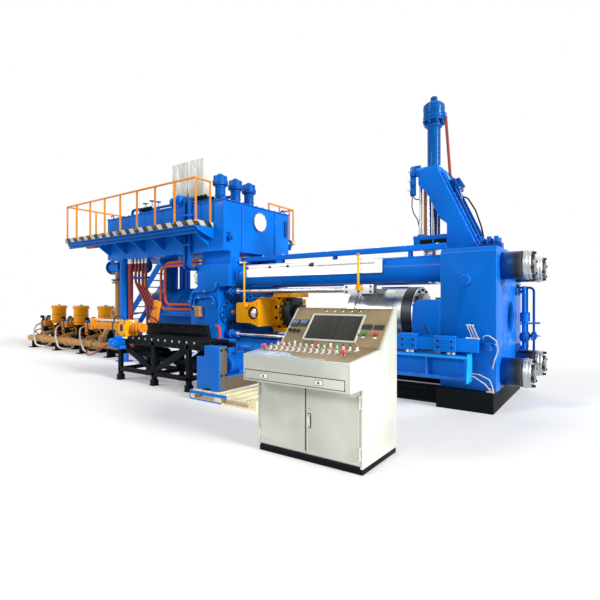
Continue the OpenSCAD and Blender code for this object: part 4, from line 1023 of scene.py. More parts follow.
# %% Slide valve and base hoses
bracket = Form()
bracket.block((0.20, -1.10, 0.80), (0.34, -0.915, 0.84), 0.005)
bracket.block((0.24, -1.10, 0.83), (0.34, -0.99, 0.90), 0.006)
bracket.rod((0.21, -1.05, 0.885), (0.39, -1.05, 0.885), 0.05, 18)
bracket.rod((0.24, -1.05, 0.89), (0.24, -1.05, 0.95), 0.03, 16)
bracket.piece("slide_valve", "dark_blue")
pipes("slide_pale_hoses", [[(0.38, -1.05, 0.885), (0.42, -1.05, 0.885), (0.42, -1.04, 0.80),
                            (0.37, -0.98, 0.70), (0.34, -0.93, 0.64), (0.34, -0.90, 0.64)],
                           [(0.24, -1.05, 0.94), (0.24, -1.05, 0.99), (0.32, -1.06, 0.99),
                            (0.40, -1.04, 0.93), (0.41, -1.0, 0.80), (0.33, -0.94, 0.56),
                            (0.33, -0.90, 0.56)], [(0.05, -1.12, 0.47), (0.15, -1.11, 0.47),
        (0.27, -1.05, 0.38), (0.31, -0.98, 0.30), (0.31, -0.97, 0.25)],
        [(0.05, -1.08, 0.50), (0.20, -1.08, 0.50), (0.32, -1.04, 0.44), (0.345, -0.985, 0.34),
         (0.345, -0.975, 0.25)]], 0.013, 0.05, "white_hose")
tap = Form()
for x in (0.31, 0.345):
    tap.turned((x, -0.972, 0.258), UP, [(0, 0.02), (0.03, 0.02), (0.034, 0.014), (0.06, 0.014),
                                        (0.064, 0.01)], 14)
tap.block((0.27, -0.995, 0.26), (0.357, -0.945, 0.285), 0.004)
tap.piece("base_taps", "bright_steel")
print("slide valve and hoses set")

# %% Exit pipes: shut-off valves and cross bar
taps, handles, joints = Form(), Form(), []
for y in (0.47, 0.68):
    taps.turned((0.49, y, 0.80), UP, [(0, 0.034), (0.015, 0.05), (0.06, 0.064), (0.085, 0.064),
                                      (0.13, 0.05), (0.145, 0.034)], 8)
    taps.ring((0.49, y, 1.22), UP, 0.112, 0.06, 0.022, 28)
    for z in (0.70, 1.56):
        taps.ring((0.378, y, z), RIGHT, 0.12, 0.05, 0.024, 28)
        joints += circle((0.402, y, z), RIGHT, 0.09, 6)
    handles.rod((0.49, y, 0.873), (0.585, y, 0.873), 0.02, 12)
    handles.slab((0.60, y, 0.873), (0.022, 0.14, 0.022), Matrix.Rotation(0.5, 3, "X"), 0.006)
taps.rod((0.455, 0.41, 1.077), (0.665, 0.773, 1.077), 0.030, 18)
taps.turned((0.60, 0.66, 0.82), UP, [(0, 0.022), (0.02, 0.034), (0.055, 0.052), (0.075, 0.052),
                                     (0.11, 0.034), (0.13, 0.022)], 8)
taps.rod((0.60, 0.66, 0.885), (0.69, 0.66, 0.885), 0.016, 12)
taps.ring((0.378, 0.66, 1.62), RIGHT, 0.10, 0.03, 0.02, 24)
taps.ring((0.378, 0.66, 0.62), RIGHT, 0.10, 0.03, 0.02, 24)
pipes("exit_thin_pipe", [[(0.37, 0.66, 1.62), (0.60, 0.66, 1.62), (0.60, 0.66, 0.62), (0.37, 0.66, 0.62)]],
      0.036, 0.06, "dark_blue")
taps.piece("exit_valves", "dark_blue")
handles.piece("exit_valve_handles", "blue_paint")
screws("exit_valve_screws", joints, 0.018, 0.012, "bright_steel")
pipes("exit_drain", [[(0.49, 0.68, 0.72), (0.49, 0.68, 0.64), (0.49, 0.76, 0.60), (0.50, 0.80, 0.70),
                      (0.50, 0.79, 0.90), (0.49, 0.74, 1.05), (0.49, 0.70, 1.13)]], 0.02, 0.06,
      "black_rubber", "black_paint")
print("exit side piped")

# %% [markdown]
# ## Oil tank and walkway
# The tank stands over the cylinder end, with filters, two coolers still in their packing film, and a
# walkway round it. The walkway's front edge has black and pale warning blocks. A stripe that follows the
# deck is a pattern on Object coordinates, so it needs no texture.


# %% Warning stripes
def stripes(name, width):
    finish = Finish(name, Specular_IOR_Level=0.3)
    lane = finish.axis("X") + finish.axis("Y") + 0.8 * finish.axis("Z") + 40
    dark = ((lane % width) > width * 0.5)
    dirt = finish.noise(6, 4)
    tone = finish.mix((0.46, 0.44, 0.35), (0.012, 0.012, 0.011), dark)
    finish.feed("Base Color", finish.mix(tone, (0.10, 0.09, 0.075), dirt.between(0.5, 0.72) * 0.7))
    finish.feed("Roughness", 0.5 + 0.25 * dirt)
    finish.bump(dirt, 0.15, 0.003)
    return finish


finishes["warning_stripes"] = stripes("warning stripes", 0.30)
edging, gussets = Form(), Form()
edging.block((-9.24, -1.479, 2.802), (-4.606, -1.466, 2.902), 0.003)
edging.block((-9.249, -1.479, 2.802), (-9.236, 1.40, 2.902), 0.003)
edging.block((-4.622, -1.479, 2.802), (-4.608, -1.02, 2.902), 0.003)
edging.block((-9.24, 2.046, 2.802), (-4.92, 2.058, 2.902), 0.003)
edging.block((-4.925, 1.02, 2.802), (-4.912, 2.058, 2.902), 0.003)
edging.piece("deck_edging", "warning_stripes", "black_paint")
gussets.plate([(-1.47, 2.795), (-1.01, 2.795), (-1.01, 2.60), (-1.12, 2.62), (-1.40, 2.72)], "X", -4.628,
              -4.614, 0.003)
gussets.block((-4.70, -1.47, 2.782), (-4.615, -1.01, 2.792), 0.002)
gussets.piece("deck_end_gusset", "blue_paint")
tread = Form()
tread.block((-9.20, -1.45, 2.868), (-9.185, -1.02, 2.8745), 0.001)
row("front_deck_treads", tread, 114, (0.0402, 0, 0), "dark_steel")
tread = Form()
tread.block((-9.20, 1.02, 2.868), (-9.185, 2.02, 2.8745), 0.001)
row("rear_deck_treads", tread, 106, (0.0402, 0, 0), "dark_steel")
tread = Form()
tread.block((-9.20, -1.0, 2.868), (-8.21, -0.985, 2.8745), 0.001)
row("end_deck_treads", tread, 50, (0, 0.0402, 0), "dark_steel")
print("deck edged and roughened")

# %% Rail feet and beam under the deck
feet, heads = Form(), []
posts = [(-9.21 + (0 if k == 0 else 0.426 + (k - 1) * 4.161 / 7), -1.44) for k in range(9)]
posts += [(-9.21 + k * 4.26 / 7, 2.02) for k in range(8)] + [(-9.21, -1.41 + k * 2.78 / 4)
        for k in (1, 2, 3)]
for x, y in posts:
    feet.turned((x, y, 2.866), UP, [(0, 0.05), (0.010, 0.05), (0.013, 0.045), (0.014, 0.027), (0.05, 0.024),
                                    (0.054, 0.021)], 20)
    heads += circle((x, y, 2.88), UP, 0.078, 4, 0.6)
feet.piece("rail_feet", "orange_paint")
screws("rail_foot_screws", heads, 0.014, 0.009, "bright_steel")
beams = Form()
for x0, x1, y in ((-9.22, -4.66, -1.38), (-9.22, -4.95, 1.92)):
    beams.block((x0, y - 0.045, 2.72), (x1, y + 0.045, 2.794), 0.004)
    beams.block((x0, y - 0.012, 2.66), (x1, y + 0.012, 2.725), 0.003)
beams.piece("deck_beams", "dark_blue")
lamp_box = Form()
lamp_box.block((-8.52, -1.36, 2.63), (-8.14, -1.27, 2.69), 0.008)
lamp_box.block((-8.40, -1.33, 2.685), (-8.26, -1.30, 2.73), 0.004)
lamp_box.piece("deck_lamp_box", "orange_hose", "red_hose")
print("rails footed")

# %% Tank seams, eyes and end-face fittings
seams = Form()
for x in (-7.50, -6.62, -5.72, -4.98):
    for y in (-1.012, 1.012):
        seams.block((x - 0.012, y - 0.004, 2.365), (x + 0.012, y + 0.004, 3.305), 0.0035)
for z in (2.372, 3.298):
    for y in (-1.012, 1.012):
        seams.block((-8.18, y - 0.004, z - 0.01), (-4.35, y + 0.004, z + 0.01), 0.0035)
seams.piece("tank_seams", "blue_paint")
lid_screws = [((-8.15 + 0.2 * k, s * 1.005, 3.324), UP) for k in range(20) for s in (-1, 1)]
lid_screws += [((x, -0.9 + 0.2 * k, 3.324), UP) for k in range(10) for x in (-8.19, -4.33)]
screws("lid_screws", lid_screws, 0.028, 0.018, "dark_blue")
ring_eye = [(0.052 * math.cos(a), 0.052 * math.sin(a)) for a in (math.radians(-60 + 300 * k / 16)
        for k in range(17))]
pipes("lifting_eyes", [[(x + a, y, 3.372 + b) for a, b in [(q[1], q[0] * -1) for q in ring_eye]]
                                for x in (-8.12, -4.45) for y in (-0.93, 0.93)], 0.03, 0.0, "blue_paint")
fittings, glass, disc = Form(), Form(), Form()
disc.turned((-4.343, 0, 3.02), RIGHT, [(0, 0.178), (0.030, 0.178), (0.033, 0.172)], 48)
disc.piece("tank_disc", "white_paint")
disc = Form()
disc.ring((-4.318, 0, 3.02), RIGHT, 0.40, 0.345, 0.014, 48, 0.004)
disc.piece("tank_disc_ring", "bright_steel")
fittings.block((-4.342, 0.845, 2.80), (-4.318, 0.925, 2.84), 0.004)
fittings.block((-4.342, 0.845, 3.135), (-4.318, 0.925, 3.175), 0.004)
for y in (0.852, 0.918):
    fittings.block((-4.338, y - 0.007, 2.82), (-4.308, y + 0.007, 3.155), 0.002)
fittings.turned((-4.345, -0.90, 2.60), RIGHT, [(0, 0.05), (0.02, 0.05), (0.024, 0.034), (0.07, 0.034),
                                               (0.074, 0.05), (0.09, 0.05), (0.094, 0.022), (0.12, 0.022),
                                               (0.124, 0.016)], 20)
fittings.rod((-4.29, -0.90, 2.60), (-4.29, -0.90, 2.70), 0.022, 12)
fittings.block((-4.30, -0.96, 2.695), (-4.28, -0.84, 2.715), 0.005)
fittings.piece("tank_end_fittings", "dark_blue")
glass.rod((-4.322, 0.885, 2.835), (-4.322, 0.885, 3.14), 0.03, 16)
glass.piece("level_glass", "dark_steel")
screws("tank_plate_screws", circle((-4.304, 0, 3.02), RIGHT, 0.372, 12), 0.016, 0.01, "dark_blue")
cover = Form()
for y in (-0.30, 0.30):
    cover.turned((-8.188, y, 2.86), LEFT, [(0, 0.27), (0.02, 0.27), (0.026, 0.262), (0.026, 0.235),
                                           (0.034, 0.225), (0.036, 0.2)], 40)
cover.piece("tank_manholes", "dark_blue")
screws("manhole_screws", [p for y in (-0.30, 0.30) for p in circle((-8.214, y, 2.86), LEFT, 0.50, 16)],
       0.026, 0.018)
print("tank fitted out")

# %% Pipes and valves on the tank
FILTER_X = -4.604
pipes("tank_top_pipes", [[(-7.52, -0.80, 3.32), (-7.52, -0.80, 3.50), (-7.22, -0.80, 3.50),
                          (-7.22, -0.80, 3.40), (-7.05, -0.80, 3.40)],
                         [(-6.62, -0.80, 3.38), (-6.05, -0.80, 3.38), (-6.05, -0.66, 3.38)],
                         [(-7.60, -0.30, 3.32), (-7.60, -0.30, 3.62), (-6.60, -0.30, 3.62),
                          (-6.60, -0.45, 3.62), (-6.20, -0.45, 3.62)],
                         [(-5.50, -0.30, 3.32), (-5.50, -0.30, 3.56), (FILTER_X, -0.30, 3.56)]], 0.062,
      0.08, "dark_blue")
valve_group("tank_valves", (-7.10, -0.80, 3.326), 4, 0.11)
valve_group("tank_end_valves", (-5.16, -0.86, 3.326), 3, 0.10)
wheels = []
for x, z in ((-7.02, 3.60), (-6.78, 3.63), (-6.56, 3.58)):
    wheels.append([(x + 0.055 * math.cos(math.tau * k / 20), -0.80 + 0.055 * math.sin(math.tau * k / 20), z)
                   for k in range(21)])
    wheels.append([(x - 0.055, -0.80, z), (x + 0.055, -0.80, z)])
    wheels.append([(x, -0.855, z), (x, -0.745, z)])
    wheels.append([(x, -0.80, z + 0.012), (x, -0.80, 3.40)])
pipes("tank_hand_wheels", wheels, 0.016, 0.0, "dark_blue", sides=8)
drops = (-5.38, -5.24)
pipes("tank_side_pipes", [[(x, -0.86, 3.39 + 0.05 * k), (x, -1.055, 3.39 + 0.05 * k), (x, -1.055, 2.06),
                           (x, -0.70, 2.06)] for k, x in enumerate(drops)], 0.08, 0.08, "dark_blue")
shoes = Form()
for x in drops:
    for z in (2.52, 3.10):
        shoes.block((x - 0.06, -1.105, z - 0.02), (x + 0.06, -1.005, z + 0.02), 0.005)
    shoes.ring((x, -1.055, 2.868), UP, 0.15, 0.082, 0.016, 28)
shoes.piece("tank_pipe_shoes", "blue_paint")
print("tank piped")


# %% Pump set on the tank lid
def small_motor(name, start, direction, diameter, length, foot):
    """A finned electric motor with its bell, cowl, terminal box and foot."""
    along, r = Vector(direction).normalized(), diameter / 2
    shell, n = Form(), 22
    place = Matrix.Translation(Vector(start)) @ frame_along(direction)
    fins = [(r if k % 2 else r * 0.9) for k in range(2 * n) for _ in (0, 1)]
    rings = [[shell.bm.verts.new(place @ Vector((q * math.cos(math.tau * k / len(fins)),
            q * math.sin(math.tau * k / len(fins)), h))) for k, q in enumerate(fins)]
            for h in (length * 0.16, length * 0.74)]
    for k in range(len(fins)):
        j = (k + 1) % len(fins)
        shell.bm.faces.new((rings[0][k], rings[0][j], rings[1][j], rings[1][k]))
    shell.bm.faces.new(rings[0][::-1])
    shell.bm.faces.new(rings[1])
    shell.turned(start, direction, [(0, r * 0.5), (length * 0.03, r * 0.62), (length * 0.05, r * 1.04),
                                    (length * 0.165, r * 1.04)], 32)
    shell.turned(Vector(start) + along * length * 0.73, direction,
                 [(0, r * 1.06), (length * 0.22, r * 1.06), (length * 0.27, r * 0.9),
                  (length * 0.272, r * 0.3)], 32)
    low = Vector(start) + along * length * 0.22
    high = Vector(start) + along * length * 0.68
    span = [sorted(p) for p in zip(low, high)]
    side = Vector((abs(along.y), abs(along.x), 0)) * r * 0.8
    shell.block((span[0][0] - side.x, span[1][0] - side.y, foot),
                (span[0][1] + side.x, span[1][1] + side.y, start[2] - r * 0.72), 0.006)
    middle = Vector(start) + along * length * 0.45
    shell.block((middle.x - r * 0.42, middle.y - r * 0.42, middle.z + r * 0.85),
                (middle.x + r * 0.42, middle.y + r * 0.42, middle.z + r * 1.32), 0.006)
    shell.piece(name, "blue_paint")


small_motor("lid_motor", (-5.62, -0.87, 3.47), LEFT, 0.20, 0.36, 3.322)
lid_pump = Form()
lid_pump.turned((-5.63, -0.87, 3.47), RIGHT, [(0, 0.055), (0.05, 0.055), (0.055, 0.08), (0.075, 0.08),
                                              (0.08, 0.055), (0.17, 0.055), (0.18, 0.04)], 28)
lid_pump.block((-5.60, -0.91, 3.322), (-5.50, -0.83, 3.43), 0.006)
lid_pump.piece("lid_pump", "dark_blue")
print("pump set on the lid")

# %% Filters
flange_heads, caps = [], Form()
for y in (-0.84, -0.42, -0.02):
    flange_heads += circle((FILTER_X, y, 3.35), UP, 0.255, 10)
    caps.ring((FILTER_X, y, 3.672), UP, 0.302, 0.26, 0.016, 40, 0.004)
    caps.ring((FILTER_X, y, 3.60), UP, 0.216, 0.19, 0.02, 40, 0.004)
    caps.ring((FILTER_X, y, 3.44), UP, 0.216, 0.19, 0.02, 40, 0.004)
    caps.turned((FILTER_X, y, 3.848), UP, [(0, 0.04), (0.012, 0.04), (0.015, 0.036)], 6)
    for k in range(4):
        a = math.tau * (k + 0.5) / 4
        caps.block((FILTER_X + 0.128 * math.cos(a) - 0.016, y + 0.128 * math.sin(a) - 0.016, 3.64),
                   (FILTER_X + 0.128 * math.cos(a) + 0.016, y + 0.128 * math.sin(a) + 0.016, 3.73), 0.005)
caps.piece("filter_caps", "dark_blue")
screws("filter_screws", flange_heads, 0.026, 0.018, "dark_steel")
print("filters capped")

# %% [markdown]
# ### Packing film
# Film pulled over a cooler hangs in upright folds that gather towards the bottom. A
# fine grid is pushed in along those folds: noise that is long in Z makes the folds, and the push only goes
# inwards, so the wrapped box keeps its size.


# %% Wrapped coolers
def wrapped(name, low, high, seed):
    bm = bmesh.new()
    size, middle = Vector(high) - Vector(low), (Vector(high) + Vector(low)) / 2
    bmesh.ops.create_cube(bm, size=1, matrix=Matrix.Translation(middle) @ Matrix.Diagonal((*size, 1)))
    bmesh.ops.subdivide_edges(bm, edges=bm.edges, cuts=30, use_grid_fill=True)
    for vertex in bm.verts:
        p = vertex.co
        rise = (p.z - low[2]) / size.z
        gather = max(0.0, 1 - rise / 0.45)
        round_it = Vector((p.x - middle.x, p.y - middle.y, 0))
        angle = math.atan2(round_it.y * size.x / size.y, round_it.x)
        fold = abs(noise.noise(Vector((angle * 3.2 + seed, seed, rise * 0.7))))
        crease = abs(noise.noise(Vector((p.x * 9 + p.z * 3, p.y * 9 - p.z * 2, p.z * 4 + seed))))
        pull = 0.026 * (1 - min(1, fold * 3)) * (0.15 + gather) + 0.008 * (1 - min(1,
                crease * 4)) + 0.05 * gather ** 2
        vertex.co -= round_it.normalized() * min(pull, 0.10) if round_it.length > 0.02 else Vector()
        top = max(0.0, rise - 0.9) * 10
        vertex.co.z -= top * 0.012 * abs(noise.noise(Vector((p.x * 4 + seed, p.y * 4, 1)))) + (0.004
                if rise > 0.99 else 0)
    mesh = bpy.data.meshes.new(name)
    bmesh.ops.recalc_face_normals(bm, faces=bm.faces)
    bm.to_mesh(mesh)
    bm.free()
    return mesh


both = bmesh.new()
for k, x in enumerate((-6.254, -5.760)):
    part = wrapped("wrap", (x, -0.67, 3.42), (x + 0.48, -0.42, 4.36), 3.1 + 7 * k)
    both.from_mesh(part)
    bpy.data.meshes.remove(part)
film = bpy.data.meshes.new("cooler_film")
both.to_mesh(film)
both.free()
settle(film, "cooler_film", "press", "film_wrap", replaces=("oil_coolers",), crease=70)
stands = Form()
for x in (-6.254, -5.760):
    stands.block((x + 0.03, -0.64, 3.322), (x + 0.45, -0.45, 3.36), 0.005)
    stands.block((x + 0.09, -0.60, 3.35), (x + 0.39, -0.49, 3.45), 0.01)
    stands.turned((x + 0.24, -0.545, 3.42), FRONT, [(0, 0.05), (0.10, 0.05), (0.105, 0.04)], 20)
    for dx in (0.05, 0.43):
        stands.block((x + dx - 0.02, -0.645, 3.34), (x + dx + 0.02, -0.445, 3.56), 0.005)
stands.piece("cooler_stands", "dark_blue")
print("coolers wrapped,", len(film.polygons), "faces of film")

# %% [markdown]
# ## Header, hoses and valve stand
# Under the tank the suction header feeds the riser, and red pressure hoses come down in a slanting bunch to
# the valve stand. The hoses follow the same routes as the solids they stand for, with crimped steel ends.


# %% Pressure hoses
def hose_ends(name, runs, profile, sides):
    """Crimped ends on (points, diameter) runs: profile is (distance along, share of the hose's radius)."""
    crimps = Form()
    for run, diameter in runs:
        for end, near in ((Vector(run[0]), Vector(run[1])), (Vector(run[-1]), Vector(run[-2]))):
            way = (near - end).normalized()
            crimps.turned(end - way * 0.004, way, [(along, diameter / 2 * share)
                    for along, share in profile], sides)
    crimps.piece(name, "bright_steel")


bunch = [[(-7.33 + 0.13 * i, -0.842, 2.36), (-7.33 + 0.13 * i, -0.842, 1.83 - 0.05 * i),
          (-6.90 + 0.12 * i, -0.842, 1.29 - 0.02 * i), (-6.90 + 0.12 * i, -0.842, 0.56)] for i in range(4)]
loops = [[(-5.125, -0.792, 2.23 - 0.08 * i), (-6.33 - 0.15 * i, -0.792, 2.23 - 0.08 * i),
          (-6.33 - 0.15 * i, -0.792, 1.33 - 0.10 * i), (-5.355, -0.792, 1.33 - 0.10 * i)] for i in range(2)]
thick = [[(-7.465, -0.88, 2.36), (-7.465, -0.88, 0.70), (-7.465, -0.84, 0.30), (-6.98, -0.84, 0.30)]]
pipes("pressure_hoses", bunch, 0.056, 0.12, "red_hose", replaces=("hydraulic_hoses",), sides=16)
pipes("thick_pressure_line", thick, 0.11, 0.16, "red_hose", sides=20)
pipes("loop_hoses", loops, 0.056, 0.16, "orange_hose", "red_hose", sides=16)
hose_ends("hose_crimps", [(r, 0.056) for r in bunch + loops] + [(thick[0], 0.11)],
          [(0, 1.5), (0.028, 1.5), (0.032, 1.2), (0.05, 1.2), (0.054, 1.32), (0.11, 1.32), (0.115, 1.1)],
          16)
hangers = Form()
hangers.block((-7.42, -0.90, 1.905), (-6.86, -0.875, 1.945), 0.004)
hangers.block((-7.42, -0.809, 1.905), (-6.86, -0.79, 1.945), 0.004)
for k in range(5):
    hangers.block((-7.405 + 0.13 * k, -0.90, 1.90), (-7.385 + 0.13 * k, -0.79, 1.95), 0.003)
hangers.block((-7.16, -0.80, 1.93), (-7.12, -0.77, 2.36), 0.004)
hangers.piece("hose_hanger", "dark_blue")
print(len(bunch) + len(loops) + len(thick), "hoses hung")

# %% Stand valves, header flanges and hidden pipes under the tank
stand = Form()
stand.block((-6.99, -0.948, 0.10), (-6.43, -0.94, 0.52), 0.003)
for x in (-6.90, -6.72, -6.54):
    stand.rod((x, -0.95, 0.40), (x, -1.0, 0.40), 0.06, 20)
stand.block((-6.94, -0.99, 0.16), (-6.50, -0.942, 0.26), 0.006)
stand.piece("stand_front", "dark_blue")
screws("stand_screws", [((x, -0.948, z), FRONT) for x in (-6.96, -6.81, -6.63, -6.46)
                        for z in (0.13, 0.32, 0.49)], 0.024, 0.016, "bright_steel")
HEADER_Y, HEADER_Z, RISER_X, MANIFOLD_Z = -0.67, 2.22, -8.31, 0.275
header = Form()
for x in (-8.56, -8.06, -7.22):
    header.ring((x, HEADER_Y, HEADER_Z), RIGHT, 0.345 if x < -8.5 else 0.36, 0.27, 0.028, 40, 0.005)
header.ring((RISER_X, HEADER_Y, 1.895), UP, 0.30, 0.185, 0.03, 36, 0.005)
header.piece("header_flanges", "dark_blue")
screws("header_screws", circle((-8.032, HEADER_Y, HEADER_Z), RIGHT, 0.325, 10)
       + circle((RISER_X, HEADER_Y, 1.84), DOWN, 0.25, 8) + circle((-7.192, HEADER_Y, HEADER_Z), RIGHT,
        0.325, 10), 0.026, 0.018)
pipes("under_tank_pipes", [
    [(-5.0, -0.45, 2.36), (-5.0, -0.45, 2.24), (-6.9, -0.45, 2.24), (-6.9, -0.45, 2.36)],
    [(-4.8, 0.45, 2.36), (-4.8, 0.45, 2.20), (-7.2, 0.45, 2.20), (-7.2, 0.45, 1.60), (-6.9, 0.38, 1.50)],
    [(-7.6, 0.70, 2.36), (-7.6, 0.70, 1.45), (-5.3, 0.70, 1.45)]], 0.11, 0.14, "blue_paint", sides=18)
print("header bolted")

# %% [markdown]
# ## Pump row
# Three pumps stand on black beds, each with a yellow suction canister, an orange valve block and a pale
# hose that loops out in a C to the foot of its bed. Flanges, gauges and screws are what make such a group
# read as pumps and not as blocks.

# %% Pale hoses and their ends
PUMPS = (-12.754, -11.439, -10.124)
outer = [[(x - 0.43, -0.16, 0.67), (x - 0.49, -0.22, 0.69), (x - 0.40, -0.42, 0.62),
          (x - 0.10, -0.60, 0.52), (x + 0.22, -0.76, 0.40), (x + 0.44, -0.83, 0.26),
          (x + 0.55, -0.85, 0.13), (x + 0.70, -0.81, 0.07), (x + 0.76, -0.62, 0.07),
          (x + 0.62, -0.46, 0.10), (x + 0.46, -0.42, 0.12), (x + 0.44, -0.36, 0.12)] for x in PUMPS]
inner = [[(x - 0.22, -0.14, 0.77), (x - 0.22, -0.14, 0.90), (x - 0.14, -0.36, 0.82),
          (x - 0.075, -0.38, 0.56), (x - 0.075, -0.12, 0.54)] for x in PUMPS]
pipes("pump_loop_hoses", outer, 0.046, 0.20, "white_hose", replaces=("pump_hoses",), sides=14)
pipes("pump_short_hoses", inner, 0.03, 0.07, "black_rubber", "black_paint", sides=14)
hose_ends("pump_hose_ends", [(r, 0.046) for r in outer] + [(r, 0.03) for r in inner],
          [(0, 1.7), (0.024, 1.7), (0.028, 1.25), (0.045, 1.25), (0.05, 1.45), (0.09, 1.45), (0.094, 1.15)],
          14)
low_runs = [[(x - 0.30, -0.286, 0.50), (x - 0.30, -0.40, 0.50), (x - 0.24, -0.53, 0.44),
             (x - 0.10, -0.56, 0.42), (x + 0.03, -0.56, 0.40), (x + 0.03, -0.56, 0.36)] for x in PUMPS]
pipes("pump_red_hoses", low_runs, 0.032, 0.06, "red_hose")
print(len(outer) + len(inner) + len(low_runs), "pump hoses")

# %% Canister lids, pump flanges and gauges
lids, bands, dials, faces, heads, big = Form(), Form(), Form(), Form(), [], []
for x in PUMPS:
    cx, cy = x + 0.06, 0.06
    lids.turned((cx, cy, 1.212), UP, [(0, 0.215), (0.016, 0.215), (0.02, 0.205), (0.03, 0.16),
                                      (0.034, 0.05), (0.06, 0.05), (0.064, 0.04)], 40)
    heads += circle((cx, cy, 1.231), UP, 0.39, 12)
    for z in (0.74, 0.95):
        bands.ring((cx, cy, z), UP, 0.414, 0.394, 0.03, 48, 0.004)
    lids.ring((x, -0.126, 0.47), BACK, 0.275, 0.19, 0.03, 32, 0.005)
    big += circle((x, -0.126, 0.47), FRONT, 0.23, 8)
    dials.rod((x - 0.20, -0.235, 0.755), (x - 0.20, -0.235, 0.83), 0.026, 12)
    dials.turned((x - 0.20, -0.205, 0.865), FRONT, [(0, 0.05), (0.036, 0.05), (0.04, 0.045)], 24)
    faces.turned((x - 0.20, -0.244, 0.865), FRONT, [(0, 0.042), (0.003, 0.042)], 24)
lids.piece("canister_lids", "canister_yellow")
bands.piece("canister_bands", "orange_paint")
dials.piece("pump_gauges", "bright_steel")
faces.piece("gauge_faces", "white_paint")
screws("canister_screws", heads, 0.03, 0.02, "bright_steel")
screws("pump_screws", big, 0.034, 0.022)
print("canisters lidded")

# %% Orange valve blocks and black pump housings
blocks, sleeves, heads = Form(), Form(), []
for x in PUMPS:
    blocks.block((x - 0.43, -0.275, 0.60), (x - 0.13, -0.015, 0.772), 0.01)
    blocks.block((x - 0.41, -0.285, 0.44), (x - 0.27, -0.25, 0.60), 0.008)
    blocks.rod((x - 0.30, -0.08, 0.765), (x - 0.30, -0.08, 0.88), 0.08, 18)
    heads += [((x - 0.41 + 0.065 * k, -0.275, z), FRONT) for k in range(5) for z in (0.63, 0.745)]
    sleeves.ring((x, -0.045, 0.47), BACK, 0.334, 0.296, 0.15, 40, 0.008)
    sleeves.block((x - 0.24, 0.215, 0.24), (x + 0.24, 0.26, 0.70), 0.012)
    sleeves.block((x + 0.13, -0.09, 0.36), (x + 0.23, 0.12, 0.54), 0.012)
    sleeves.rod((x + 0.06, 0.06, 0.585), (x + 0.06, 0.06, 0.63), 0.25, 32)
blocks.piece("pump_valve_blocks", "orange_paint")
sleeves.piece("pump_housings", "black_paint")
screws("valve_block_screws", heads, 0.022, 0.014, "bright_steel")
for k, x in enumerate(PUMPS):
    valve_group("pump_valves_%d" % (k + 1), (x - 0.42, -0.17, 0.772), 2, 0.07)
print("valve blocks on the pumps")

# %% Suction line: offset bend, flange screws and saddles
pipes("suction_offset", [[(RISER_X, HEADER_Y, 1.36), (RISER_X, HEADER_Y, 1.22),
                          (-9.13, HEADER_Y, MANIFOLD_Z), (-9.30, HEADER_Y, MANIFOLD_Z)]], 0.124, 0.14,
      "ochre_paint")
collars, heads = Form(), []
for x in (-9.40, -10.70, -12.00):
    heads += circle((x + 0.03, HEADER_Y, MANIFOLD_Z), RIGHT, 0.215, 8)
    heads += circle((x - 0.03, HEADER_Y, MANIFOLD_Z), LEFT, 0.215, 8)
lean = Vector((-0.82, 0, -0.945)).normalized()
for t in (0.16, 1.00):
    foot = Vector((RISER_X, HEADER_Y, 1.22)) + lean * t
    collars.ring(foot, lean, 0.20, 0.118, 0.026, 32, 0.004)
    collars.ring(foot + lean * 0.03, lean, 0.20, 0.118, 0.026, 32, 0.004)
    heads += circle(foot, -lean, 0.165, 8) + circle(foot + lean * 0.056, lean, 0.165, 8)
for x in (-9.75, -10.45, -11.05, -11.75, -12.40):
    collars.ring((x, HEADER_Y, MANIFOLD_Z), RIGHT, 0.205, 0.166, 0.05, 36, 0.006)
collars.piece("suction_collars", "ochre_paint")
screws("suction_screws", heads, 0.026, 0.016, "bright_steel")
saddles = Form()
for x in (-8.60, -9.90, -11.20, -12.60):
    saddles.block((x - 0.04, -0.77, 0.0), (x + 0.04, -0.57, 0.20), 0.008)
    saddles.block((x - 0.10, -0.83, 0.0), (x + 0.10, -0.51, 0.02), 0.004)
saddles.block((-13.25, -0.22, 0.0), (-8.85, -0.10, 0.12), 0.006)
saddles.block((-13.25, 1.02, 0.0), (-8.85, 1.12, 0.12), 0.006)
saddles.piece("pump_floor_frame", "black_paint")
print("suction line finished")

# %% Motor eyes, grilles, lids and foot screws
eyes = [[(x + 0.045 * math.sin(a), 0.44, 0.768 - 0.045 * math.cos(a))
         for a in (math.radians(30 + 300 * k / 14) for k in range(15))] for x in PUMPS]
pipes("motor_eyes", eyes, 0.024, 0.0, "dark_steel")
grilles = Form()
for x in PUMPS:
    for d in (0.12, 0.22, 0.32):
        grilles.ring((x, 1.146, 0.47), BACK, d + 0.03, d, 0.010, 40, 0.003)
    for k in range(3):
        grilles.slab((x, 1.151, 0.47), (0.36, 0.008, 0.016), Matrix.Rotation(math.radians(60 * k), 3, "Y"),
                     0.002)
    grilles.block((x - 0.085, 0.52, 0.828), (x + 0.085, 0.80, 0.842), 0.005)
grilles.piece("motor_grilles", "black_paint")
screws("motor_foot_screws", [((x + s * 0.235, y, 0.330), UP) for x in PUMPS for s in (-1, 1)
                             for y in (0.46, 1.02)], 0.04, 0.03)
pipes("motor_cables", [[(x + 0.10, 0.66, 0.76), (x + 0.19, 0.66, 0.76), (x + 0.34, 0.70, 0.55),
                        (x + 0.37, 0.80, 0.20), (x + 0.37, 0.86, 0.165)] for x in PUMPS], 0.036, 0.09,
      "black_rubber", "black_paint")
print(len(PUMPS), "motors finished")

# %% [markdown]
# ## Billet rack and pusher
# The rack is a black frame of square bars with V-shaped saddles for billets. Its braces run from the outer
# legs' tops to the middle leg's foot. The pusher is an orange cylinder with a pale guide bar over it, a
# yellow end block and a ringed head. Small bright rollers between the saddles carry the billet, and the row
# tree repeats them.

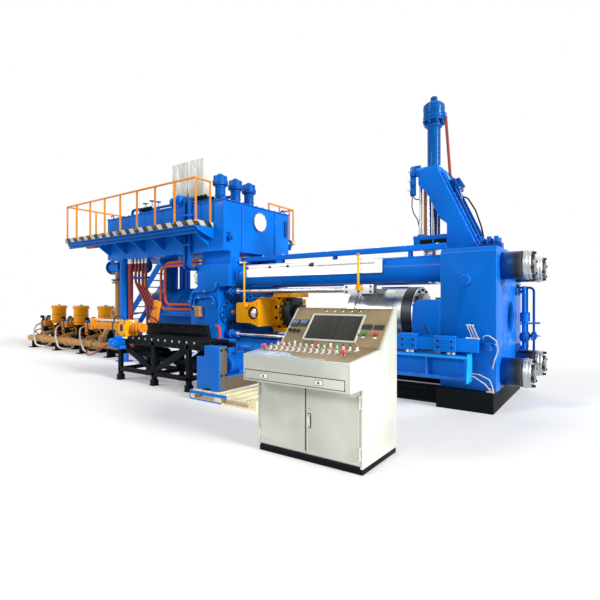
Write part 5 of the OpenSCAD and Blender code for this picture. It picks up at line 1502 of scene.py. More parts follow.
# %% Rack frame
RACK_X, RACK_Y, RACK_TOP = -5.72, -2.32, 0.74
RACK_LEGS = (RACK_X + 0.07, RACK_X + 1.033, RACK_X + 1.899)
bars = Form()
for x in RACK_LEGS:
    for y in (RACK_Y, RACK_Y + 0.58):
        bars.block((x - 0.035, y, 0.0), (x + 0.035, y + 0.07, RACK_TOP), 0.006)
    for z in (0.16, RACK_TOP - 0.07):
        bars.block((x - 0.035, RACK_Y + 0.002, z), (x + 0.035, RACK_Y + 0.648, z + 0.068), 0.006)
for y in (RACK_Y, RACK_Y + 0.58):
    bars.block((RACK_X, y, RACK_TOP - 0.08), (RACK_X + 2.24, y + 0.07, RACK_TOP), 0.006)
    bars.block((RACK_X + 0.035, y, 0.16), (RACK_X + 1.934, y + 0.07, 0.23), 0.006)
    for high, low, s in ((RACK_X + 0.105, RACK_X + 0.998, 1), (RACK_X + 1.864, RACK_X + 1.068, -1)):
        bars.plate([(high, RACK_TOP - 0.078), (high + s * 0.13, RACK_TOP - 0.078), (low, 0.30),
                    (low, 0.228), (low - s * 0.05, 0.228), (high, RACK_TOP - 0.14)], "Y", y + 0.01,
                   y + 0.06, 0.005)
bars.plate([(RACK_X, RACK_TOP - 0.08), (RACK_X + 2.24, RACK_TOP - 0.08), (RACK_X + 2.24, RACK_TOP),
            (RACK_X + 1.68, RACK_TOP + 0.03), (RACK_X + 1.62, RACK_TOP + 0.25), (RACK_X, RACK_TOP + 0.25)],
           "Y", RACK_Y + 0.65, RACK_Y + 0.72, 0.006)
bars.piece("rack_bars", "black_paint", replaces=("rack_frame",))
print("rack frame built")

# %% Rack rollers, feet and frame screws
roller = Form()
roller.turned((RACK_X + 0.448, RACK_Y + 0.03, RACK_TOP + 0.021), BACK,
              [(0, 0.010), (0.03, 0.010), (0.034, 0.023), (0.58, 0.023), (0.584, 0.010), (0.614, 0.010)],
              14)
row("rack_rollers", roller, 10, (0.176, 0, 0), "dark_steel")
bearing = Form()
for y in (RACK_Y + 0.022, RACK_Y + 0.615):
    bearing.block((RACK_X + 0.432, y, RACK_TOP - 0.004), (RACK_X + 0.464, y + 0.022, RACK_TOP + 0.040),
                  0.004)
    bearing.rod((RACK_X + 0.448, y - 0.004, RACK_TOP + 0.021),
                (RACK_X + 0.448, y + 0.026, RACK_TOP + 0.021), 0.016, 10)
row("rack_bearings", bearing, 10, (0.176, 0, 0), "bright_steel")
tips = [((RACK_X + 0.27 + 0.176 * k, RACK_Y, RACK_TOP - 0.04), FRONT) for k in range(11)]
tips += [((RACK_X + 0.12 + 0.23 * k, RACK_Y + 0.650, RACK_TOP + z), FRONT) for k in range(7)
         for z in (0.03, 0.20)]
screws("rack_screws", tips, 0.024, 0.014, "dark_steel")
shoes = Form()
for x in RACK_LEGS:
    for y in (RACK_Y + 0.035, RACK_Y + 0.615):
        shoes.block((x - 0.057, y - 0.057, 0.0), (x + 0.057, y + 0.057, 0.018), 0.004)
        shoes.block((x - 0.05, y - 0.05, 0.015), (x + 0.05, y + 0.05, 0.10), 0.006)
shoes.block((RACK_X + 0.02, RACK_Y + 0.60, RACK_TOP + 0.09),
            (RACK_X + 1.62, RACK_Y + 0.652, RACK_TOP + 0.14), 0.006)
shoes.block((RACK_X + 0.02, RACK_Y + 0.62, RACK_TOP + 0.235),
            (RACK_X + 1.61, RACK_Y + 0.735, RACK_TOP + 0.256), 0.005)
shoes.block((RACK_X + 0.01, RACK_Y - 0.010, RACK_TOP - 0.014),
            (RACK_X + 2.23, RACK_Y + 0.010, RACK_TOP + 0.006), 0.004)
shoes.piece("rack_feet", "black_paint")
tray = Form()
tray.block((RACK_X + 1.02, RACK_Y + 0.10, 0.40), (RACK_X + 1.88, RACK_Y + 0.55, 0.412), 0.004)
tray.block((RACK_X + 1.02, RACK_Y + 0.10, 0.40), (RACK_X + 1.88, RACK_Y + 0.112, 0.46), 0.004)
tray.rod((RACK_X + 0.10, RACK_Y + 0.33, 0.50), (RACK_X + 0.98, RACK_Y + 0.33, 0.50), 0.20, 32)
tray.rod((RACK_X + 0.06, RACK_Y + 0.33, 0.50), (RACK_X + 1.04, RACK_Y + 0.33, 0.50), 0.06, 18)
for x in RACK_LEGS[:2]:
    tray.block((x - 0.03, RACK_Y + 0.05, 0.46), (x + 0.03, RACK_Y + 0.60, 0.54), 0.006)
for x in (RACK_X + 1.04, RACK_X + 1.86):
    tray.block((x - 0.02, RACK_Y + 0.08, 0.22), (x + 0.02, RACK_Y + 0.14, 0.405), 0.004)
    tray.block((x - 0.02, RACK_Y + 0.50, 0.22), (x + 0.02, RACK_Y + 0.56, 0.405), 0.004)
    tray.block((x - 0.02, RACK_Y + 0.05, 0.19), (x + 0.02, RACK_Y + 0.60, 0.23), 0.004)
tray.piece("rack_drum_and_tray", "black_paint")
print("rack dressed")

# %% Pusher guide bar, yellow block and head rings
PUSH_Y, PUSH_Z = -2.17, 0.934
bar = Form()
bar.rod((-6.80, PUSH_Y, 1.042), (-5.44, PUSH_Y, 1.042), 0.044, 20)
bar.piece("pusher_guide_bar", "white_hose")
plates = Form()
plates.block((-6.72, PUSH_Y - 0.085, 0.85), (-6.675, PUSH_Y + 0.085, 1.075), 0.008)
plates.turned((-6.69, PUSH_Y, PUSH_Z), RIGHT, [(0, 0.072), (0.09, 0.072), (0.094, 0.065), (0.88, 0.065),
                                               (0.884, 0.085), (0.96, 0.085), (0.964, 0.09), (0.99, 0.09)],
              48)
plates.ring((-6.62, PUSH_Y, PUSH_Z), RIGHT, 0.17, 0.12, 0.03, 40, 0.006)
plates.ring((-6.20, PUSH_Y, PUSH_Z), RIGHT, 0.148, 0.12, 0.04, 40, 0.005)
plates.plate([(RACK_X + 0.11, RACK_TOP + 0.25), (RACK_X + 0.23, RACK_TOP + 0.25),
              (RACK_X + 0.32, RACK_TOP + 0.61), (RACK_X + 0.29, RACK_TOP + 0.65),
              (RACK_X + 0.22, RACK_TOP + 0.64), (RACK_X + 0.195, RACK_TOP + 0.59)], "Y", RACK_Y + 0.655,
             RACK_Y + 0.715, 0.008)
plates.slab((-5.475, -1.635, 1.36), (0.14, 0.08, 0.10), Matrix.Rotation(math.radians(20), 3, "Y"), 0.012)
plates.rod((-5.475, -1.585, 1.325), (-5.475, -1.70, 1.325), 0.08, 24)
plates.slab((-5.57, -1.635, 1.10), (0.10, 0.10, 0.26), Matrix.Rotation(math.radians(14), 3, "Y"), 0.010)
plates.piece("pusher_cylinder", "orange_paint", replaces=("billet_pusher",))
block = Form()
block.block((-5.72, PUSH_Y - 0.12, RACK_TOP), (-5.49, PUSH_Y + 0.12, PUSH_Z + 0.12), 0.012)
block.block((-5.728, PUSH_Y - 0.130, 0.762), (-5.482, PUSH_Y - 0.116, 1.058), 0.006)
block.block((-5.728, PUSH_Y - 0.130, 1.036), (-5.482, PUSH_Y + 0.130, 1.058), 0.006)
block.block((-5.60, PUSH_Y - 0.04, 1.05), (-5.54, PUSH_Y + 0.04, 1.072), 0.005)
block.ring((-5.494, PUSH_Y, PUSH_Z), RIGHT, 0.20, 0.084, 0.026, 36, 0.006)
block.piece("pusher_block_plates", "canister_yellow")
window = Form()
window.block((-5.655, PUSH_Y - 0.134, 0.87), (-5.565, PUSH_Y - 0.12, 0.99), 0.004)
window.piece("pusher_block_window", "dark_steel")
pad = Form()
pad.block((-5.74, PUSH_Y - 0.15, 0.739), (-5.44, PUSH_Y + 0.15, 0.764), 0.005)
pad.piece("pusher_pad", "white_paint")
screws("pusher_screws", [((x, PUSH_Y - 0.130, z), FRONT) for x in (-5.70, -5.51) for z in (0.80, 1.02)]
       + circle((-6.72, PUSH_Y, PUSH_Z), LEFT, 0.11, 6) + circle((-5.806, PUSH_Y, PUSH_Z), LEFT, 0.15, 8),
       0.022, 0.014)
rings, shaft = Form(), Form()
rings.turned((-5.43, PUSH_Y, PUSH_Z), RIGHT, [(0, 0.078), (0.004, 0.082), (0.036, 0.082), (0.04, 0.078),
                                              (0.04, 0.058), (0.08, 0.058), (0.08, 0.088), (0.084, 0.092),
                                              (0.116, 0.092), (0.12, 0.088), (0.12, 0.062), (0.16, 0.062),
                                              (0.16, 0.09), (0.165, 0.095), (0.20, 0.095), (0.205, 0.09),
                                              (0.205, 0.066), (0.25, 0.066), (0.25, 0.08), (0.255, 0.084),
                                              (0.285, 0.084), (0.29, 0.08)], 48)
rings.piece("pusher_head", "orange_paint", replaces=("pusher_rod",), body="pusher")
shaft.rod((-6.15, PUSH_Y, PUSH_Z), (-5.42, PUSH_Y, PUSH_Z), 0.08, 32)
shaft.turned((-5.142, PUSH_Y, PUSH_Z), RIGHT, [(0, 0.06), (0.002, 0.06)], 28)
shaft.piece("pusher_shaft", "chrome", body="pusher")
pipes("pusher_hoses", [[(-6.66, PUSH_Y + 0.02, 1.02), (-6.66, PUSH_Y + 0.10, 1.05),
                        (-6.5, PUSH_Y + 0.17, 0.98), (-5.9, PUSH_Y + 0.19, 0.92),
                        (-5.76, PUSH_Y + 0.19, 0.70), (-5.69, PUSH_Y + 0.19, 0.70)],
                       [(-5.60, PUSH_Y + 0.06, 1.05), (-5.60, PUSH_Y + 0.06, 1.16),
                        (-5.50, PUSH_Y + 0.25, 1.20), (-5.40, -1.72, 1.06), (-5.40, -1.66, 0.99),
                        (-5.40, -1.64, 0.98)], [(-5.62, PUSH_Y - 0.06, 1.05), (-5.62, PUSH_Y - 0.06, 1.12),
                                                (-5.80, PUSH_Y - 0.12, 1.14), (-5.84, PUSH_Y - 0.17, 0.95),
                                                (-5.74, -2.34, 0.74), (-5.66, -2.36, 0.70)]], 0.024, 0.06,
      "black_rubber", "black_paint")
print("pusher dressed")

# %% Rack drive: a blue motor on the front corner
drive = Form()
for k in range(7):
    drive.ring((-5.53, -2.345 - 0.018 * k, 0.68), FRONT, 0.172, 0.13, 0.007, 32, 0.002)
drive.turned((-5.53, -2.556, 0.68), FRONT, [(0, 0.085), (0.004, 0.085), (0.010, 0.07), (0.012, 0.03)], 28)
drive.block((-5.57, -2.47, 0.745), (-5.49, -2.36, 0.805), 0.008)
drive.block((-5.62, -2.43, 0.57), (-5.44, -2.315, 0.63), 0.008)
drive.rod((-5.58, -2.40, 0.66), (-5.73, -2.40, 0.63), 0.085, 24)
drive.rod((-5.72, -2.40, 0.632), (-5.75, -2.40, 0.626), 0.10, 24)
drive.piece("rack_drive", "blue_paint")
screws("rack_drive_screws", circle((-5.53, -2.560, 0.68), FRONT, 0.145, 6), 0.016, 0.01, "bright_steel")
print("rack drive set")

# %% [markdown]
# ## Loader base on its pallet
# A heavy blue fork stands on a wooden pallet, ready to be set in place. Its end face is bare, rusty steel
# with a brushed grain. The pallet's runners are modelled as boards and blocks, with the openings a fork
# truck needs.


# %% Bare end face, painted slot shade and lifting boss
def bare_plate(name):
    finish = Finish(name, Metallic=0.4)
    rust, brush = finish.noise(4, 5), finish.noise(40, 2, (1, 1, 6))
    across = finish.axis("Y").between(-2.46, -2.38)
    tone = finish.mix((0.085, 0.125, 0.165), (0.13, 0.095, 0.06), across * rust.between(0.25, 0.5))
    finish.feed("Base Color", finish.mix(tone, (0.20, 0.19, 0.17), brush.between(0.5, 0.75) * 0.4))
    finish.feed("Roughness", 0.42 + 0.3 * rust)
    finish.bump(brush, 0.2, 0.002)
    return finish


finishes["bare_plate"] = bare_plate("bare plate")
LOAD_LEFT, LOAD_RIGHT, LOAD_FRONT, LOAD_FOOT = -3.41, -2.94, -2.49, 0.13
ends = Form()
ends.plate([(LOAD_FRONT + 0.008, LOAD_FOOT + 0.01), (-1.31, LOAD_FOOT + 0.01), (-1.31, 0.322),
            (-2.346, 0.322), (-2.346, 0.765), (LOAD_FRONT + 0.008, 0.765)], "X", LOAD_RIGHT - 0.004,
           LOAD_RIGHT + 0.008, 0.002)
ends.piece("loader_bare_face", "bare_plate", "dark_steel")
# a thin black block stands in for the dark inside of a slot: painted shade
dark = Form()
dark.block((LOAD_LEFT + 0.17, LOAD_FRONT - 0.004, LOAD_FOOT + 0.006),
           (LOAD_LEFT + 0.29, LOAD_FRONT + 0.01, LOAD_FOOT + 0.032), 0.003)
dark.piece("loader_slot_shade", "black_paint")
steps = Form()
steps.block((LOAD_LEFT - 0.004, -1.33, LOAD_FOOT), (LOAD_RIGHT + 0.004, -1.295, LOAD_FOOT + 0.03), 0.005)
steps.block((LOAD_LEFT + 0.02, -1.43, 0.632), (LOAD_RIGHT - 0.02, -1.32, 0.652), 0.005)
steps.rod((LOAD_RIGHT - 0.002, -1.375, 0.50), (LOAD_RIGHT + 0.05, -1.375, 0.50), 0.09, 24)
steps.plate([(-1.45, 0.34), (-1.62, 0.34), (-1.45, 0.60)], "X", LOAD_RIGHT - 0.06, LOAD_RIGHT - 0.03, 0.004)
steps.plate([(-1.45, 0.34), (-1.62, 0.34), (-1.45, 0.60)], "X", LOAD_LEFT + 0.03, LOAD_LEFT + 0.06, 0.004)
steps.piece("loader_trim", "blue_paint")
screws("loader_screws", [((LOAD_RIGHT + 0.008, y, z), RIGHT) for y in (-2.46, -2.37) for z in (0.36, 0.72)]
       + [((x, -2.415, 0.773), UP) for x in (-3.20, -3.0)] + [((x, -1.375, 0.652), UP)
        for x in (-3.32, -3.04)], 0.03, 0.02)
fins = Form()
fins.ring((-3.15, -2.11, 0.46), BACK, 0.276, 0.25, 0.010, 36, 0.003)
row("loader_motor_fins", fins, 16, (0, 0.022, 0), "blue_paint")
cap = Form()
cap.turned((-3.15, -2.146, 0.46), FRONT, [(0, 0.128), (0.012, 0.128), (0.018, 0.12), (0.02, 0.05)], 32)
cap.block((-3.21, -1.98, 0.57), (-3.09, -1.82, 0.645), 0.008)
cap.turned((-3.15, -1.702, 0.46), BACK, [(0, 0.09), (0.03, 0.09), (0.034, 0.03), (0.12, 0.03),
                                         (0.124, 0.024)], 28)
cap.piece("loader_motor_caps", "dark_blue")
print("loader finished")

# %% Pallet of boards and blocks
boards, nails = Form(), []
for k in range(7):
    x = -3.44 + 0.187 * k
    boards.block((x, -2.59, 0.105), (x + 0.15, -1.20, 0.13), 0.003)
    nails += [((x + dx, y, 0.13), UP) for dx in (0.04, 0.11) for y in (-2.535, -1.895, -1.255)]
for y in (-2.59, -1.95, -1.31):
    boards.block((-3.44, y, 0.084), (-2.168, y + 0.11, 0.106), 0.003)
    boards.block((-3.44, y, 0.0), (-2.168, y + 0.11, 0.02), 0.003)
    for x in (-3.44, -2.954, -2.308):
        boards.block((x, y + 0.004, 0.019), (x + (0.14 if x > -3.4 else 0.09), y + 0.106, 0.085), 0.004)
boards.piece("pallet_boards", "wood", replaces=("pallet",))
screws("pallet_nails", nails, 0.010, 0.003, "dark_steel")
strip = Form()
strip.block((-3.444, -2.596, 0.086), (-2.70, -2.588, 0.1315), 0.002)
strip.block((-3.444, -2.596, 0.002), (-2.80, -2.588, 0.019), 0.002)
strip.block((-3.446, -2.594, 0.0), (-3.438, -1.196, 0.1315), 0.002)
strip.piece("pallet_painted_edge", "blue_paint")
print("pallet nailed")

# %% Red hose from the manifold to the riser
pipes("riser_red_hose", [[(-9.36, -0.76, 0.22), (-9.37, -0.84, 0.17), (-9.32, -0.92, 0.09),
                          (-9.20, -0.97, 0.045), (-9.04, -0.98, 0.05), (-8.86, -0.96, 0.10),
                          (-8.66, -0.90, 0.21), (-8.50, -0.81, 0.33), (-8.36, -0.70, 0.44)]], 0.034, 0.16,
      "red_hose")
print("red hose laid from the manifold to the riser")

# %% [markdown]
# ## Control desk
# The desk has a sloping panel with a screen, meters and knobs, and a nearly level top with rows of buttons.
# Two small rules put things on those planes: `on_panel` counts up the slope and `on_top` counts along the
# top. The buttons are one turned shape in a few colours, each on a pale stem or a bright rim.


# %% Plastics, glass and the two planes
def plastic(name, colour, rough=0.28):
    finish = Finish(name, Coat_Weight=0.3, Coat_Roughness=0.1)
    cloud = finish.noise(30, 2)
    finish.feed("Base Color", finish.mix(shade(colour, 0.85), shade(colour, 1.1), cloud))
    finish.feed("Roughness", rough + 0.15 * cloud)
    return finish


def screen_glass(name):
    finish = Finish(name, Coat_Weight=0.12, Coat_Roughness=0.06, Specular_IOR_Level=0.2)
    haze, line = finish.noise(3, 2, (14, 0.15, 0.15)), (finish.axis("Z") * 160) % 1.0
    tone = finish.mix((0.020, 0.020, 0.016), (0.036, 0.031, 0.023), haze.between(0.35, 0.65))
    finish.feed("Base Color", finish.mix(tone, (0.03, 0.03, 0.028), (line > 0.5) * 0.25))
    finish.feed("Roughness", 0.14 + 0.12 * haze)
    return finish


finishes.update({
    "red_cap": plastic("red cap", (0.62, 0.012, 0.018)),
    "green_cap": plastic("green cap", (0.008, 0.26, 0.05)),
    "black_cap": plastic("black cap", (0.012, 0.012, 0.013)),
    "ivory_cap": plastic("ivory cap", (0.80, 0.80, 0.76)),
    "meter_blue": plastic("meter face", (0.10, 0.20, 0.32)),
    "pale_film": plastic("pale film", (0.50, 0.66, 0.76), 0.2),
    "screen_glass": screen_glass("screen glass"),
})
PANEL_TURN = Matrix.Rotation(math.radians(48.75), 3, "X")
TOP_TURN = Matrix.Rotation(math.radians(5.68), 3, "X")
PANEL_OUT, TOP_OUT = PANEL_TURN @ Vector(UP), TOP_TURN @ Vector(UP)
DESK_LEFT, DESK_RIGHT, DESK_FRONT, DESK_BACK, CABINET = -1.213, -0.098, -3.87, -2.959, -3.664


def on_panel(x, up, off=0.0):
    return Vector((x, -3.317, 1.0)) + PANEL_TURN @ Vector((0, up, off))


def on_top(x, y, off=0.0):
    return Vector((x, DESK_FRONT, 0.945)) + TOP_TURN @ Vector((0,
            (y - DESK_FRONT) / math.cos(math.radians(5.68)), off))


print("desk planes ready")

# %% Bronze top plate, edge trims and side panels
sheet = Form()
sheet.slab(on_top(-0.6555, -3.588, 0.001), (1.060, 0.525, 0.006), TOP_TURN, 0.002)
sheet.slab(on_panel(-0.6555, 0.232, 0.001), (1.060, 0.446, 0.006), PANEL_TURN, 0.002)
sheet.piece("desk_plates", "bronze_panel")
trim = Form()
trim.slab(on_panel(-0.6555, 0.460, 0.003), (1.076, 0.012, 0.010), PANEL_TURN, 0.002)
trim.slab(on_top(-0.6555, -3.322, 0.004), (1.072, 0.008, 0.006), TOP_TURN, 0.002)
trim.block((DESK_LEFT + 0.02, -3.02, 1.349), (DESK_RIGHT - 0.02, -2.99, 1.356), 0.002)
trim.piece("desk_trims", "bronze_panel")
sides = Form()
outline = [(-3.848, 0.727), (-3.848, 0.932), (-3.322, 0.984), (-3.006, 1.330), (-2.979, 1.330),
           (-2.979, 0.075), (-3.644, 0.075), (-3.644, 0.727)]
sides.plate(outline, "X", DESK_RIGHT - 0.001, DESK_RIGHT + 0.004, 0.002)
sides.plate(outline, "X", DESK_LEFT - 0.004, DESK_LEFT + 0.001, 0.002)
sides.piece("desk_side_panels", "desk_grey")
lip = Form()
lip.block((DESK_LEFT, DESK_FRONT - 0.004, 0.930), (DESK_RIGHT, DESK_FRONT + 0.010, 0.948), 0.004)
lip.block((DESK_LEFT + 0.02, CABINET + 0.002, 0.690), (DESK_RIGHT - 0.02, CABINET + 0.030, 0.710), 0.003)
lip.piece("desk_lips", "desk_grey")
film = Form()
for k, (x, y, wide, deep, lean) in enumerate(((-1.02, -3.785, 0.36, 0.155, 0),
                                              (-0.85, -3.793, 0.13, 0.13, 6),
                                              (-0.78, -3.812, 0.11, 0.085, 14),
                                              (-0.70, -3.842, 0.16, 0.04, 8),
                                              (-0.50, -3.858, 0.34, 0.018, 0.5))):
    film.slab(on_top(x, y, 0.005 + 0.0006 * k), (wide, deep, 0.003),
              TOP_TURN @ Matrix.Rotation(math.radians(-lean), 3, "Z"), 0.001)
film.piece("desk_film_strip", "pale_film", "film_wrap")
print("desk plates set")

# %% Screen with a bevelled frame
bezel = Form()
for x, up, wide, high in ((-0.6645, 0.058, 0.60, 0.020), (-0.6645, 0.375, 0.60, 0.020),
                          (-0.955, 0.2165, 0.020, 0.337), (-0.374, 0.2165, 0.020, 0.337)):
    bezel.slab(on_panel(x, up, 0.007), (wide, high, 0.016), PANEL_TURN, 0.004)
bezel.piece("screen_frame", "desk_grey")
glass = Form()
glass.slab(on_panel(-0.6645, 0.2165, 0.005), (0.566, 0.301, 0.008), PANEL_TURN, 0.002)
glass.piece("screen_glass_plate", "screen_glass", "dark_steel")
screws("screen_screws", [(on_panel(x, up, 0.015), PANEL_OUT) for x in (-0.955, -0.374)
                         for up in (0.062, 0.371)], 0.012, 0.003, "bright_steel")
print("screen set")

# %% Meters, displays, lamps and knobs of the panel
cases, windows, digits, needles = Form(), Form(), Form(), Form()
for x, up in ((-1.140, 0.258), (-1.035, 0.262)):
    cases.slab(on_panel(x, up, 0.006), (0.090, 0.086, 0.018), PANEL_TURN, 0.004)
    windows.slab(on_panel(x, up + 0.014, 0.0150), (0.072, 0.040, 0.003), PANEL_TURN, 0.001)
    needles.slab(on_panel(x + 0.008, up + 0.012, 0.0168), (0.003, 0.036, 0.002),
                 PANEL_TURN @ Matrix.Rotation(math.radians(-35), 3, "Z"), 0.0)
    for k in range(7):
        lean = math.radians(45 - 15 * k)
        needles.slab(on_panel(x - 0.034 * math.sin(lean), up - 0.008 + 0.038 * math.cos(lean), 0.0168),
                     (0.002, 0.008, 0.001), PANEL_TURN @ Matrix.Rotation(lean, 3, "Z"), 0.0)
for x, up in ((-0.305, 0.243), (-0.185, 0.243)):
    cases.slab(on_panel(x, up, 0.005), (0.098, 0.054, 0.016), PANEL_TURN, 0.003)
    digits.slab(on_panel(x, up, 0.0125), (0.084, 0.036, 0.003), PANEL_TURN, 0.001)
cases.piece("panel_meter_cases", "black_cap", "black_paint")
windows.piece("panel_meter_faces", "meter_blue", "white_paint")
needles.piece("panel_meter_needles", "black_cap", "black_paint")
digits.piece("panel_displays", "screen_glass", "dark_steel")


def button_row(name, spots, cap, slot, radius=0.014, height=0.016, mushroom=False, stem=0.0):
    """Caps on bright rims or pale stems: spots are (point, outward direction)."""
    caps, rims = Form(), Form()
    for point, out in spots:
        rims.turned(point - out * 0.001, out, [(0, radius * 1.5), (0.005, radius * 1.5),
                                               (0.008, radius * 1.2), (0.010 + stem, radius * 1.05)], 20)
        flare = 1.75 if mushroom else 1.0
        caps.turned(point + out * (0.006 + stem), out, [(0, radius * 0.8), (height * 0.5, radius * 0.8),
                (height * 0.6, radius * flare), (height * 0.9, radius * flare),
                (height * 1.1, radius * flare * 0.8), (height * 1.18, radius * flare * 0.4)], 20)
    rims.piece(name + "_rims", "ivory_cap" if stem else "chrome", "white_paint" if stem else "chrome")
    return caps.piece(name, cap, slot)


def knob_row(name, spots, cap, slot, turn):
    """Turn switches: a round skirt, a grip bar and a pale pointer."""
    skirts, grips, marks = Form(), Form(), Form()
    for point, out in spots:
        skirts.turned(point - out * 0.001, out, [(0, 0.022), (0.006, 0.022), (0.010, 0.018),
                (0.012, 0.016)], 24)
        spin = turn @ Matrix.Rotation(math.radians(-35), 3, "Z")
        grips.turned(point + out * 0.008, out, [(0, 0.016), (0.010, 0.016), (0.013, 0.013)], 20)
        grips.slab(point + out * 0.022, (0.012, 0.036, 0.020), spin, 0.003)
        marks.slab(point + out * 0.0322 + spin @ Vector((0, 0.011, 0)), (0.0025, 0.008, 0.0015), spin, 0.0)
    skirts.piece(name + "_skirts", "black_cap", "black_paint")
    marks.piece(name + "_marks", "ivory_cap", "white_paint")
    return grips.piece(name, cap, slot)


knob_row("panel_black_knobs", [(on_panel(x, up, 0.004), PANEL_OUT)
                               for x, up in ((-1.159, 0.161), (-1.104, 0.158), (-1.051, 0.155))],
         "black_cap", "black_paint", PANEL_TURN)
knob_row("panel_green_knob", [(on_panel(-0.314, 0.157, 0.004), PANEL_OUT)], "green_cap", "black_paint",
         PANEL_TURN)
knob_row("panel_red_knob", [(on_panel(-0.195, 0.158, 0.004), PANEL_OUT)], "red_cap", "red_hose", PANEL_TURN)
button_row("panel_lamps", [(on_panel(-0.831 + 0.096 * k, 0.428, 0.004), PANEL_OUT) for k in range(5)],
           "black_cap", "black_paint", 0.010, 0.010)
print("panel instruments set")

# %% Buttons of the desk top
front = [-1.10 + 0.0655 * k for k in range(12)]
back = [-1.15 + 0.0675 * k for k in range(14)]
colours = {"red_cap": [], "green_cap": [], "black_cap": [], "ivory_cap": []}
for k, x in enumerate(front):
    colours[("red_cap", "green_cap", "red_cap", "black_cap",
             "green_cap")[k % 5]].append((on_top(x, -3.60, 0.004), TOP_OUT))
for k, x in enumerate(back):
    colours[("black_cap", "red_cap", "green_cap", "ivory_cap", "green_cap",
             "black_cap")[k % 6]].append((on_top(x, -3.425, 0.004), TOP_OUT))
for cap, slot in (("red_cap", "red_hose"), ("green_cap", "black_paint"), ("black_cap", "black_paint"),
                  ("ivory_cap", "white_paint")):
    button_row("desk_" + cap + "s", colours[cap], cap, slot, 0.0115, 0.018, stem=0.024)
button_row("desk_stop_buttons", [(on_top(-1.165, -3.63, 0.004), TOP_OUT),
                                 (on_top(-0.292, -3.632, 0.004), TOP_OUT)], "red_cap", "red_hose", 0.0155,
           0.036, True)
tags = Form()
for spots in colours.values():
    for point, out in spots:
        tags.slab(point + TOP_TURN @ Vector((0.0, -0.036, 0.001)), (0.024, 0.024, 0.004), TOP_TURN, 0.001)
for x, up in ((-0.314, 0.122), (-0.195, 0.122)):
    tags.slab(on_panel(x + 0.004, up, 0.005), (0.030, 0.018, 0.003), PANEL_TURN, 0.001)
tags.piece("desk_tags", "ivory_cap", "white_paint")
print(sum(len(spots) for spots in colours.values()) + 2, "buttons")

# %% Drawer latches, door handle, locks and plinth feet
board = Form()
board.block((-1.190, DESK_FRONT - 0.006, 0.728), (-0.150, DESK_FRONT + 0.001, 0.803), 0.0015)
board.piece("drawer_front", "desk_grey", body="drawer")
gap = Form()
for low, high in (((-1.197, 0.8036), (-0.143, 0.8095)), ((-1.197, 0.7215), (-0.143, 0.7274)),
                  ((-1.197, 0.7215), (-1.1906, 0.8095)), ((-0.1494, 0.7215), (-0.143, 0.8095))):
    gap.block((low[0], DESK_FRONT - 0.0015, low[1]), (high[0], DESK_FRONT + 0.001, high[1]), 0.0004)
gap.piece("drawer_seal", "black_rubber", "black_paint")
strip = Form()
strip.block((-0.6635, CABINET - 0.0025, 0.102), (-0.6555, CABINET + 0.001, 0.690), 0.0006)
strip.piece("door_seal", "black_rubber", "black_paint", body="door_l")
latch, keys = Form(), Form()
for x in (-0.967, -0.386):
    keys.block((x - 0.040, DESK_FRONT - 0.0075, 0.744), (x + 0.040, DESK_FRONT, 0.788), 0.002)
    latch.block((x - 0.036, DESK_FRONT - 0.011, 0.748), (x + 0.036, DESK_FRONT + 0.001, 0.784), 0.003)
    keys.rod((x, DESK_FRONT - 0.010, 0.766), (x, DESK_FRONT - 0.016, 0.766), 0.020, 20)
latch.piece("drawer_latches", "ivory_cap", "white_paint", body="drawer")
keys.piece("drawer_keys", "black_cap", "black_paint", body="drawer")
grip, shade_plate = Form(), Form()
# the black plate round the door handle stands in for its shadow: a painted shadow
shade_plate.block((-0.633, CABINET - 0.003, 0.310), (-0.603, CABINET + 0.002, 0.441), 0.001)
shade_plate.piece("door_handle_shadow_plate", "black_cap", "black_paint", body="door_r")
grip.block((-0.626, CABINET - 0.006, 0.318), (-0.610, CABINET + 0.004, 0.433), 0.003)
grip.rod((-0.618, CABINET - 0.002, 0.335), (-0.618, CABINET - 0.030, 0.335), 0.012, 14)
grip.rod((-0.618, CABINET - 0.002, 0.416), (-0.618, CABINET - 0.030, 0.416), 0.012, 14)
grip.rod((-0.618, CABINET - 0.027, 0.322), (-0.618, CABINET - 0.027, 0.429), 0.013, 16)
grip.piece("door_handle", "chrome", body="door_r")
lock = Form()
lock.rod((-0.618, CABINET + 0.004, 0.475), (-0.618, CABINET - 0.008, 0.475), 0.022, 20)
lock.slab((-0.618, CABINET - 0.009, 0.475), (0.003, 0.003, 0.012), Matrix.Identity(3), 0.0)
lock.piece("door_lock", "bright_steel", body="door_r")
for name, body, low, high in (("left_door_frame", "door_l", -1.178, -0.668),
                              ("right_door_frame", "door_r", -0.643, -0.133)):
    ribs = Form()
    for a, b in (((low, 0.100), (high, 0.104)), ((low, 0.676), (high, 0.680)),
                 ((low, 0.100), (low + 0.004, 0.680)), ((high - 0.004, 0.100), (high, 0.680))):
        ribs.block((a[0], CABINET - 0.0015, a[1]), (b[0], CABINET + 0.004, b[1]), 0.001)
    ribs.piece(name, "desk_grey", body=body)
feet = Form()
for x in (DESK_LEFT + 0.05, DESK_RIGHT - 0.05):
    for y in (CABINET + 0.06, DESK_BACK - 0.05):
        feet.turned((x, y, 0.0), UP, [(0, 0.03), (0.008, 0.03), (0.012, 0.014), (0.03, 0.014)], 18)
feet.piece("desk_feet", "dark_steel")
print("desk fronts fitted")

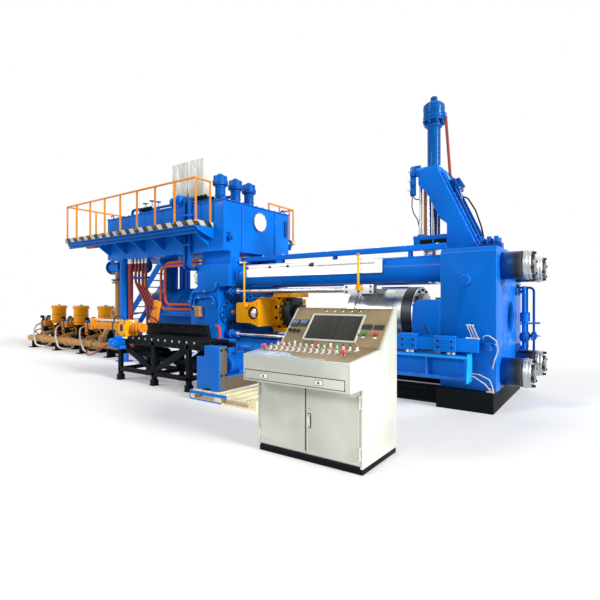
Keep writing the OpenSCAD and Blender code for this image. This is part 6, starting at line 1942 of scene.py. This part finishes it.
# %% Rear louvres, rear cover screws and closed cable glands
slat = Form()
slat.slab((-0.6555, DESK_BACK + 0.004, 0.24), (0.42, 0.022, 0.005),
          Matrix.Rotation(math.radians(-35), 3, "X"), 0.001)
row("desk_rear_louvres", slat, 9, (0, 0, 0.026), "desk_grey")
slat = Form()
slat.slab((-0.6555, DESK_BACK + 0.004, 0.96), (0.42, 0.022, 0.005),
          Matrix.Rotation(math.radians(-35), 3, "X"), 0.001)
row("desk_upper_louvres", slat, 7, (0, 0, 0.026), "desk_grey")
cover = Form()
cover.block((DESK_LEFT + 0.06, DESK_BACK - 0.002, 0.12), (DESK_RIGHT - 0.06, DESK_BACK + 0.004, 1.28),
            0.002)
cover.piece("desk_rear_cover", "desk_grey")
screws("desk_rear_screws", [((x, DESK_BACK + 0.004, z), BACK) for x in (DESK_LEFT + 0.08, DESK_RIGHT - 0.08)
                            for z in (0.15, 0.52, 0.88, 1.25)], 0.014, 0.005, "bright_steel")
glands = Form()
for k in range(4):
    x = -0.98 + 0.07 * k
    glands.turned((x, DESK_BACK + 0.002, 0.095), BACK, [(0, 0.018), (0.012, 0.018), (0.014, 0.013),
            (0.030, 0.012)], 12)
glands.piece("desk_glands", "bright_steel")
print("desk rear fitted")

# %% [markdown]
# ## Studio
# A plain pale floor and three suns: a strong one from the exit end, a weaker one from the front left and a
# faint fill from behind. The sky is even. The camera sees it as plain white, and so do shiny metals, while
# the floor keeps the machine's shadow.


# %% Floor, light and sky
def studio_floor():
    finish = Finish("studio floor", Roughness=0.9)
    far = finish.node("ShaderNodeVectorMath", {"operation": "LENGTH"}, {0: finish.place}, out="Value")
    glow = finish.node("ShaderNodeEmission", {}, {"Color": (1, 1, 1), "Strength": 1.0})
    finish.feed("Base Color", (0.93, 0.92, 0.91))
    blend = finish.node("ShaderNodeMixShader", {}, {0: 0.22 + 0.78 * far.between(9, 22),
                                                    1: Wire(finish, finish.shader.outputs[0]), 2: glow})
    finish.tree.links.new(blend.socket, finish.tree.nodes["Material Output"].inputs["Surface"])
    mesh = bpy.data.meshes.new("studio_floor")
    reach = 60
    mesh.from_pydata([(-reach, -reach, 0), (reach, -reach, 0), (reach, reach, 0), (-reach, reach, 0)], [],
                     [(0, 1, 2, 3)])
    mesh.materials.append(finish.material)
    floor = bpy.data.objects.new("studio_floor", mesh)
    floor.location = (-5, -1, -0.001)
    scene.collection.objects.link(floor)


def lamp(name, towards, strength, angle):
    sun = bpy.data.lights.new(name, "SUN")
    sun.energy, sun.angle = strength, math.radians(angle)
    made = bpy.data.objects.new(name, sun)
    made.rotation_euler = Vector(towards).to_track_quat("-Z", "Y").to_euler()
    scene.collection.objects.link(made)


def sky():
    world = bpy.data.worlds.new("studio sky")
    scene.world = world
    world.use_nodes = True
    nodes, links = world.node_tree.nodes, world.node_tree.links
    path, seen, lit = nodes.new("ShaderNodeLightPath"), nodes.new("ShaderNodeBackground"), nodes["Background"]
    seen.inputs["Color"].default_value, seen.inputs["Strength"].default_value = (1, 1, 1, 1), 1.0
    lit.inputs["Color"].default_value, lit.inputs["Strength"].default_value = (0.97, 0.99, 1, 1), 0.44
    either = None
    for ray in ("Is Camera Ray", "Is Glossy Ray", "Is Transmission Ray"):
        if either is None:
            either = path.outputs[ray]
        else:
            largest = nodes.new("ShaderNodeMath")
            largest.operation = "MAXIMUM"
            links.new(either, largest.inputs[0])
            links.new(path.outputs[ray], largest.inputs[1])
            either = largest.outputs[0]
    mix = nodes.new("ShaderNodeMixShader")
    links.new(either, mix.inputs[0])
    links.new(lit.outputs[0], mix.inputs[1])
    links.new(seen.outputs[0], mix.inputs[2])
    links.new(mix.outputs[0], nodes["World Output"].inputs["Surface"])


studio_floor()
lamp("key", (-0.93, 0.08, -0.36), 4.0, 16)
lamp("front", (0.457, 0.762, -0.457), 1.3, 12)
lamp("fill", (0.5, -0.6, -0.5), 0.5, 60)
sky()
print("studio ready")
